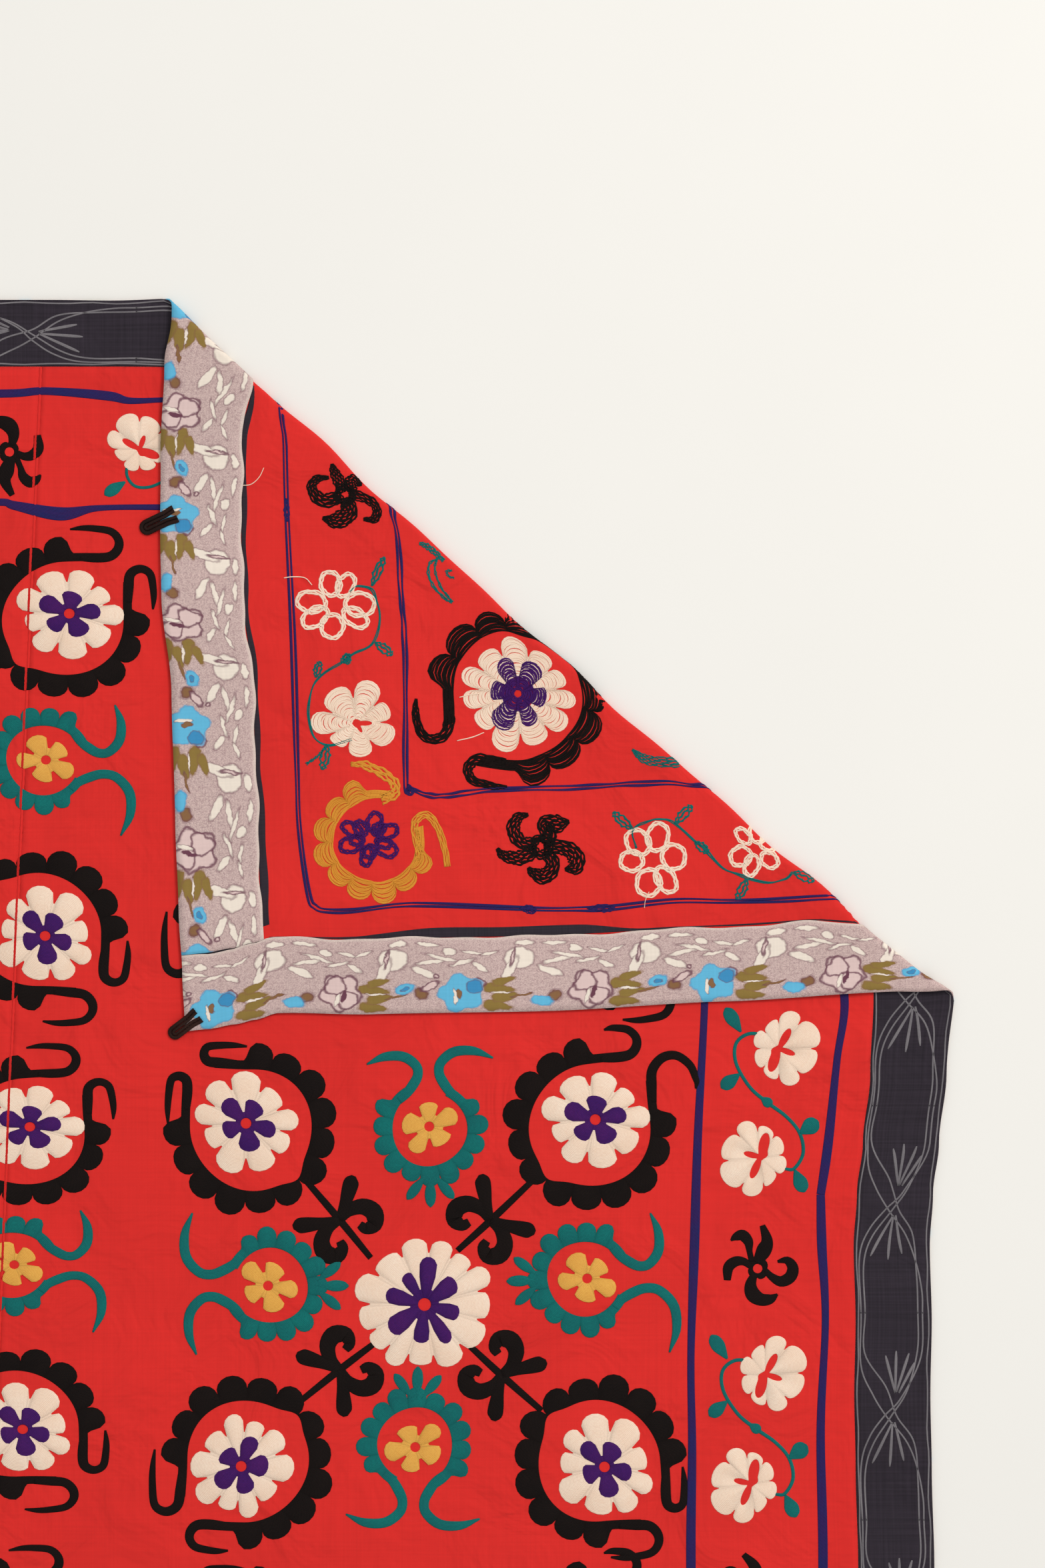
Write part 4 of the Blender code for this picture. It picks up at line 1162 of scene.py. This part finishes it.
def unfold(plan_x, plan_y):
    """Where a place seen on the flap lies on the open textile: the fold undone, and closed in on in
    four passes for the bulges of the edges."""
    goal_x, goal_y = plan_x, plan_y
    for _pass in range(4):
        x, y = goal_x - FOLD_X, goal_y - FOLD_Y
        along = x * FOLD_COS + y * FOLD_SIN
        across = y * FOLD_COS - x * FOLD_SIN
        beyond = (-across - BEND_RADIUS) / FLAP_STRETCH
        turned = beyond + math.pi * BEND_RADIUS
        along = along - FLAP_SLIDE * turned
        across = turned - BEND_RADIUS
        open_x = FOLD_X + along * FOLD_COS - across * FOLD_SIN
        open_y = FOLD_Y + along * FOLD_SIN + across * FOLD_COS
        got_x, got_y, _z = folded(open_x, open_y, np.zeros_like(open_x))
        sure = ease(beyond, 0.0, 0.030)
        goal_x = goal_x + (plan_x - got_x) * sure
        goal_y = goal_y + (plan_y - got_y) * sure
    return open_x, open_y


def on_flap(x, y, rise):
    """A point on the flap, from its place seen from above, raised by rise."""
    return on_back(*unfold(x, y), rise)


def loose_rows(strips, spacing=1.9, thick=0.62, most=99, unsteady=1.0):
    """Rows of stitches along each strip, spacing apart in mm, that wander a little across.

    Row n runs at share (n + 0.5)/count of the way from outline to outline, give or take a part of a
    row by two sines, and thick is its half width."""
    made = []
    for thread, left, right, closed in strips:
        width = np.linalg.norm(right - left, axis=1, keepdims=True)
        count = int(np.clip(np.ceil(width.max() * 1000 / spacing), 1, most))
        place = np.arange(len(left))[:, None] * (2 * math.pi / len(left))
        for number in range(count):
            wander = 0.30 * np.sin(5 * place + 2.7 * number) + 0.22 * np.sin(11 * place + 1.3 * number)
            share = np.clip((number + 0.5 + unsteady * wander) / count, 0.02, 0.98)
            middle = left * (1 - share) + right * share
            half = np.minimum(thick / 1000 * (1 + 0.25 * np.sin(7 * place + number)), 0.45 * width / count + 0.0002)
            toward = (right - left) / np.maximum(width, 1e-6)
            made.append((thread, middle - toward * half, middle + toward * half, closed))
    return made


def work_back(strips, **rows):
    """Work the wrong side of strips that lie on the flap as seen from above."""
    for strip_made in loose_rows(strips, **rows):
        pad(strip_made, 0.0008 if strip_made[0] == "purple" else 0.0005, on_flap, "back")


FLAP_GUARDS = (
    # x, y, half width in mm, seen from above
    ((126, 790, 2.9), (129, 765, 2.9), (131.7, 676.6, 2.9), (137, 560, 3.0), (140.2, 459.4, 2.9), (142, 409, 2.9),
     (150, 350, 2.9), (156, 339, 2.9), (167, 335.5, 2.9), (190, 336, 2.9), (227.4, 340.3, 2.4), (255.4, 340.9, 2.6),
     (336.9, 337.5, 2.4), (376, 337, 3.2), (405, 338, 3.0), (462, 344, 2.8), (509, 344, 2.8), (557, 345, 3.0),
     (606, 349, 3.0), (622, 350, 3.0)),
    ((224, 690, 2.9), (225.7, 675.4, 2.9), (229, 610, 2.9), (232.6, 555.2, 2.9), (233.1, 447.4, 2.7),
     (236, 439.5, 2.4)),
    ((236, 440.5, 2.2), (252, 434.5, 2.6), (270.2, 434.2, 3.2), (306.1, 438.9, 2.8), (376, 441, 2.8),
     (425.8, 444, 2.8), (481.1, 446.0, 2.8), (500, 446, 2.8)),
)
work_back([stroke("guard", rows, 160) for rows in FLAP_GUARDS], spacing=3.2, thick=1.0, most=2, unsteady=0.25)
work_back(
    [leaf("guard", *row) for row in (
        (131, 688, 132, 668, 2.6), (235, 444, 238, 434, 4.0), (330, 338, 345, 336, 4.0), (388, 338, 412, 338, 3.6),
    )],
    spacing=1.5,
)

FLAP_VINES = (
    # x, y, half width in mm, seen from above
    ((185, 608, 0.9), (192, 613, 0.9), (204, 610, 1.0), (209, 598, 0.8), (211, 584, 0.9), (205, 564, 0.8),
     (190, 556, 1.2), (177, 547, 0.8), (160, 536, 0.9), (152, 522, 0.8), (150, 502, 0.9), (155, 484, 0.8),
     (167, 477, 0.9), (187, 482, 0.9)),
    ((430, 389, 0.8), (427, 404, 0.8), (437, 411, 0.8), (450, 414, 0.9), (462, 411, 0.8), (477, 398, 1.2),
     (490, 387, 1.2), (503, 373, 0.9), (519, 366, 1.1), (540, 360, 0.9), (557, 363, 0.9), (566, 371, 0.9)),
    ((166, 477, 1.0), (158, 468, 0.9), (148, 461, 1.1)),
    ((247, 652, 1.6), (253.6, 650, 2.8), (261, 645, 2.8), (269, 638, 1.8)),
    ((276, 630, 1.0), (270.6, 628, 1.3), (271.6, 623, 1.3), (277, 622.5, 1.0)),
    ((263.6, 640, 0.9), (254.5, 633, 1.0), (252.8, 622.7, 1.1), (257.8, 611.5, 1.1), (267.4, 601.8, 1.0),
     (273, 599, 1.0)),
    ((263.6, 640, 0.9), (259.4, 631.5, 0.9), (259.4, 622.7, 0.9), (263.6, 611.5, 0.9), (269.4, 604, 0.9),
     (273, 599, 1.0)),
)
FLAP_LEAVES = (
    # from x, y to x, y, half width, in mm, seen from above
    (204, 613, 215, 638, 4.6), (207, 565, 222, 554, 5.0), (186, 555, 178, 548, 4.0), (156, 535, 160, 549, 4.4),
    (166, 478, 162, 456, 5.4), (427, 405, 410, 420, 5.2), (463, 410, 478, 426, 5.2), (480, 395, 492, 385, 4.8),
    (525, 363, 516, 345, 5.2), (566, 371, 583, 362, 6.0), (182, 556, 184, 546, 4.0),
)
work_back([stroke("teal", rows, 60) for rows in FLAP_VINES], thick=0.8)
work_back([leaf("teal", *row) for row in FLAP_LEAVES], spacing=3.6, thick=0.95, most=3)
work_back([stroke("teal", ((427, 474, 1.2), (436, 467, 4.6), (447, 465, 5.4), (470, 467, 5.0)), 30)], spacing=1.8)

FLAP_WHIRLS = (
    # x, y of the middle, then x, y and half width from it along each curled leaf, in mm
    (182, 692, (
        ((0, 2, 5.0), (-4, 11, 5.4), (-8, 20, 4.0), (-10, 27, 2.6)),
        ((-4, -3, 4.6), (-20, -6, 4.6), (-29, 4, 3.4), (-25, 12, 2.8), (-14, 14, 1.4)),
        ((0, -3, 4.6), (3, -16, 5.6), (-8, -23, 5.6), (-20, -21, 2.0)),
        ((4, 1, 4.6), (20, -1, 4.4), (29, -9, 3.6), (25, -21, 3.0), (15, -22, 1.4)),
        ((4, 4, 4.4), (10, 14, 5.0), (18, 12, 3.0)),
    )),
    (349, 391, (
        ((-4, 2, 4.4), (-17, 3, 4.4), (-24, 14, 4.6), (-20, 24, 3.6), (-11, 27, 1.2)),
        ((1, 2, 4.4), (7, 9, 5.0), (2, 19, 4.8), (14, 19, 6.2), (24, 21, 4.0)),
        ((2, -2, 4.4), (18, -1, 5.0), (29, -8, 5.6), (29, -18, 5.2), (20, -20, 2.2)),
        ((-4, -3, 4.4), (-18, -10, 5.0), (-32, -8, 3.4), (-38, -2, 1.2)),
        ((5, -5, 4.4), (10, -17, 4.8), (2, -26, 5.4), (-8, -22, 3.0), (-11, -18, 1.4)),
    )),
)
LEAF_FULLNESS, LEAF_TIP = 1.3, 1.3
for middle_x, middle_y, leaves in FLAP_WHIRLS:
    for rows in leaves:
        curled = [(x, y, LEAF_FULLNESS * half) for x, y, half in rows[:-1]] + [(*rows[-1][:2], LEAF_TIP)]
        work_back(placed([stroke("black", curled, 30)], middle_x, middle_y), thick=0.95)
    work_back(placed([flower("black", 5, 11.0, 0.15, 3.2, 20)], middle_x, middle_y), thick=0.95)

LOOPED = (
    # thread, x, y in mm, petals, reach, width, turn
    ("cream", 173, 597, 7, 33.0, 20.5, 112), ("cream", 444, 379, 6, 32.0, 22.0, 70),
    ("cream", 534, 391, 6, 27.0, 18.0, 20),
    ("purple", 202.5, 397, 6, 27.0, 15.0, 22), ("purple", 202.5, 397, 5, 19.0, 13.0, 50),
)
for looped in LOOPED:
    work_back(loop_flower(*looped, band=3.8), spacing=1.9, thick=0.9)
DENSE = (
    # x, y in mm, then the flower
    (191, 496, flower("cream", 7, 33.0, 0.40, 3.5, 100, ((260, 10, 0.3), (200, 6, 0.3)), 0.12, 12, 0.6, 0.10, 0.12)),
    (329, 521, flower("cream", 11, 48.0, 0.30, 14.0, 10, (), 0.08, 12, 0.7, 0.08)),
    (329, 521, flower("purple", 6, 29.5, 0.52, 3.2, 25, (), 0.14, 12, 0.55, 0.18)),
)
for x, y, worked_flower in DENSE:
    work_back(placed([worked_flower], x, y), spacing=1.8, thick=1.04, unsteady=0.6)
flap_ring = [horseshoe("black", 56.0, 66.0, 12.0, 9.0, 12, 18, 0.0, 40)]
flap_ring += turned_hooks("black", 59.5, 5.0, 40, 18, (21, 26, 28, 23))
work_back(placed(flap_ring, 329, 521, 222), spacing=1.8, thick=0.98, unsteady=0.8)
orange_ring = [horseshoe("orange", 35.5, 42.5, 11.0, 7.0, 11, 27, 0.0, 40)]
work_back(placed(orange_ring, 207, 396, 44), spacing=1.8, thick=0.98, unsteady=0.8)
ORANGE_HOOKS = (
    # space between rows, half width of a row, steps, then x, y, half width in mm, seen from above
    (3.4, 1.2, 40, ((212, 431, 5.5), (222, 434.5, 4.4), (224.6, 441, 4.2), (219.5, 449, 4.4), (208, 456, 4.2),
                    (197, 460.5, 3.4), (186, 461, 1.6))),
    (2.0, 0.62, 44, ((246, 379, 5.6), (244, 390.5, 3.6), (240.5, 404.7, 3.3), (242.5, 413.5, 3.4), (249, 417.8, 3.4),
                     (256.5, 413.3, 3.1), (262.2, 402, 2.9), (266.8, 387.6, 2.8), (268.5, 373.4, 2.6))),
)
for spacing, thick, steps, rows in ORANGE_HOOKS:
    work_back([stroke("orange", rows, steps)], spacing=spacing, thick=thick)
LOOSE_THREADS = (
    # x, y, half width in mm, seen from above
    ((129, 620, 0.4), (137, 621, 0.5), (147, 620, 0.4), (153, 614, 0.4)),
    ((279, 518, 0.4), (287, 520, 0.5), (296, 521, 0.4)),
    ((277, 481, 0.4), (290, 484, 0.5), (300, 488, 0.4)),
    ((92, 699, 0.35), (101, 700, 0.4), (108, 706, 0.35), (112, 714, 0.3)),
    ((98, 437, 0.3), (104, 431, 0.35), (108, 421, 0.3)),
    ((441, 352, 0.35), (438, 345, 0.3), (437, 338, 0.3)),
)
for rows in LOOSE_THREADS:
    pad(stroke("cream", rows, 20), 0.0011, on_flap, "back")


# The raw edge of the black border: where the facing doesn't quite cover it on the back, it shows as
# a narrow dark edge beside the facing. It is part of the border's cotton, turned under.

def turned_over(strip_made):
    """A strip with its outlines exchanged, for the back of the cloth drawn as seen from the front."""
    thread, left, right, closed = strip_made
    return thread, right, left, closed


def showing_edge(x, y, toward, width):
    """A strip from 1 mm under the facing's edge to width beyond it; toward is 1 or -1 in X and Y."""
    along = np.column_stack((x, y))
    under = along - np.array(toward) * 0.001
    return turned_over(("black_edge", under, along + np.array(toward) * width[:, None], False))


EDGE_STEPS, EDGE_HEIGHT = 110, 0.00025
inner_x, inner_y = RIGHT_EDGE - SIDE_FACING + SIDE_SWING[-1][1], TOP_EDGE - TOP_FACING
edge_x, edge_y = np.linspace(0.070, inner_x - 0.012, EDGE_STEPS), np.full(EDGE_STEPS, inner_y)
seen_y = folded(edge_x, edge_y, np.zeros(EDGE_STEPS))[1]
edge_width = (
    0.0008 + 0.0026 * ease(seen_y, 0.800, 0.765) + 0.0020 * ease(seen_y, 0.460, 0.400)
    + 0.0004 * np.sin(edge_x * 90)
)
pad(showing_edge(edge_x, edge_y, (0, -1), edge_width), EDGE_HEIGHT, on_back, "back")
edge_y, edge_x = np.linspace(inner_y - 0.004, 0.060, EDGE_STEPS), np.full(EDGE_STEPS, inner_x)
seen_x = folded(edge_x, edge_y, np.zeros(EDGE_STEPS))[0]
edge_width = 0.0006 + 0.0075 * ease(seen_x, 0.170, 0.260) * ease(seen_x, 0.440, 0.380) + 0.0003 * np.sin(edge_y * 80)
pad(showing_edge(edge_x, edge_y, (-1, 0), edge_width), EDGE_HEIGHT, on_back, "back")

# The seam between the two loom widths: red thread that whips their selvedges together.
seam_y = np.linspace(low_y, high_y, 420)
seam_line = np.interp(seam_y, (low_y, high_y), (SEAM_BOTTOM_X, SEAM_TOP_X))
SEAM_HEIGHT, WHIP_PITCH = 0.0003, 0.0075
seam_half = 0.0011 + 0.0002 * np.sin(seam_y * 2 * math.pi / WHIP_PITCH)
seam_left, seam_right = (np.column_stack((seam_line + way * seam_half, seam_y)) for way in (-1, 1))
pad(("red", seam_left, seam_right, False), SEAM_HEIGHT, on_front, "front")


# The tabs: a folded loop of dark braid, sewn on the facing by its two ends, for hanging the textile.

TABS = (
    # node, x, y, heading in degrees, length, width, droop from
    ("tab_edge", 0.0365, 0.6749, 205, 0.0340, 0.0140, 0.0180),
    ("tab_corner", 0.0559, 0.2468, 217, 0.0315, 0.0130, 0.0195),
)
BRAID_LOOPS = ((0.355, 0.125), (0.118, 0.105))  # middle line and half width, as shares of the tab's width
TAB_RISE, TAB_REST = 0.0018, CLOTH_THICK + 0.0006
for tab, tab_x, tab_y, tab_heading, tab_length, tab_width, droop_from in TABS:
    flat_x, flat_y = np.array([tab_x]), np.array([tab_y])
    tab_level = float(folded(*unfold(flat_x, flat_y), np.zeros(1))[2][0]) + GAP

    def on_tab(run, side, rise):
        """A point on the tab's flat pattern, turned to its heading and drooping past the rim."""
        cosine, sine = math.cos(math.radians(tab_heading)), math.sin(math.radians(tab_heading))
        level = tab_level - (tab_level - TAB_REST) * ease(run, droop_from, tab_length)
        return tab_x + run * cosine - side * sine, tab_y + run * sine + side * cosine, level + np.maximum(rise, 0)

    for offset, half in BRAID_LOOPS:
        side, turn_at = tab_width * offset, tab_length - tab_width / 2
        angle = np.linspace(-math.pi / 2, math.pi / 2, 14)
        out_x, back_x = np.linspace(0, turn_at, 16)[:-1], np.linspace(turn_at, 0, 16)[1:]
        loop_x = np.concatenate((out_x, turn_at + side * np.cos(angle), back_x))
        loop_y = np.concatenate((np.full(15, -side), side * np.sin(angle), np.full(15, side)))
        spread = ease(loop_x, 0.010, 0) * np.sign(loop_y) * 0.0012
        rows = np.column_stack((loop_x, loop_y + spread, np.full(44, tab_width * half))) * 1000
        pad(stroke("braid", rows, 70), TAB_RISE, on_tab, tab)


# All the stitching of one thread on one side is a single piece.
CLOTH_PIECES = {"black_edge": black_cotton, "red": red}
for (group, thread), parts in worked.items():
    offset, points, quads, caps, uvs = 0, [], [], [], []
    for part_points, part_quads, part_caps, part_uv in parts:
        points.append(part_points)
        quads.append(part_quads + offset)
        caps += [[corner_index + offset for corner_index in cap] for cap in part_caps]
        uvs.append(part_uv)
        offset += len(part_points)
    material = CLOTH_PIECES.get(thread) or thread_materials[thread]
    piece = set_mesh(
        f"stitching_{group}_{thread}", np.concatenate(points), np.concatenate(quads), caps, np.concatenate(uvs),
        material, len(caps),
    )
    if thread == "braid":
        piece.name = f"braid_{group}"
        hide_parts(group)
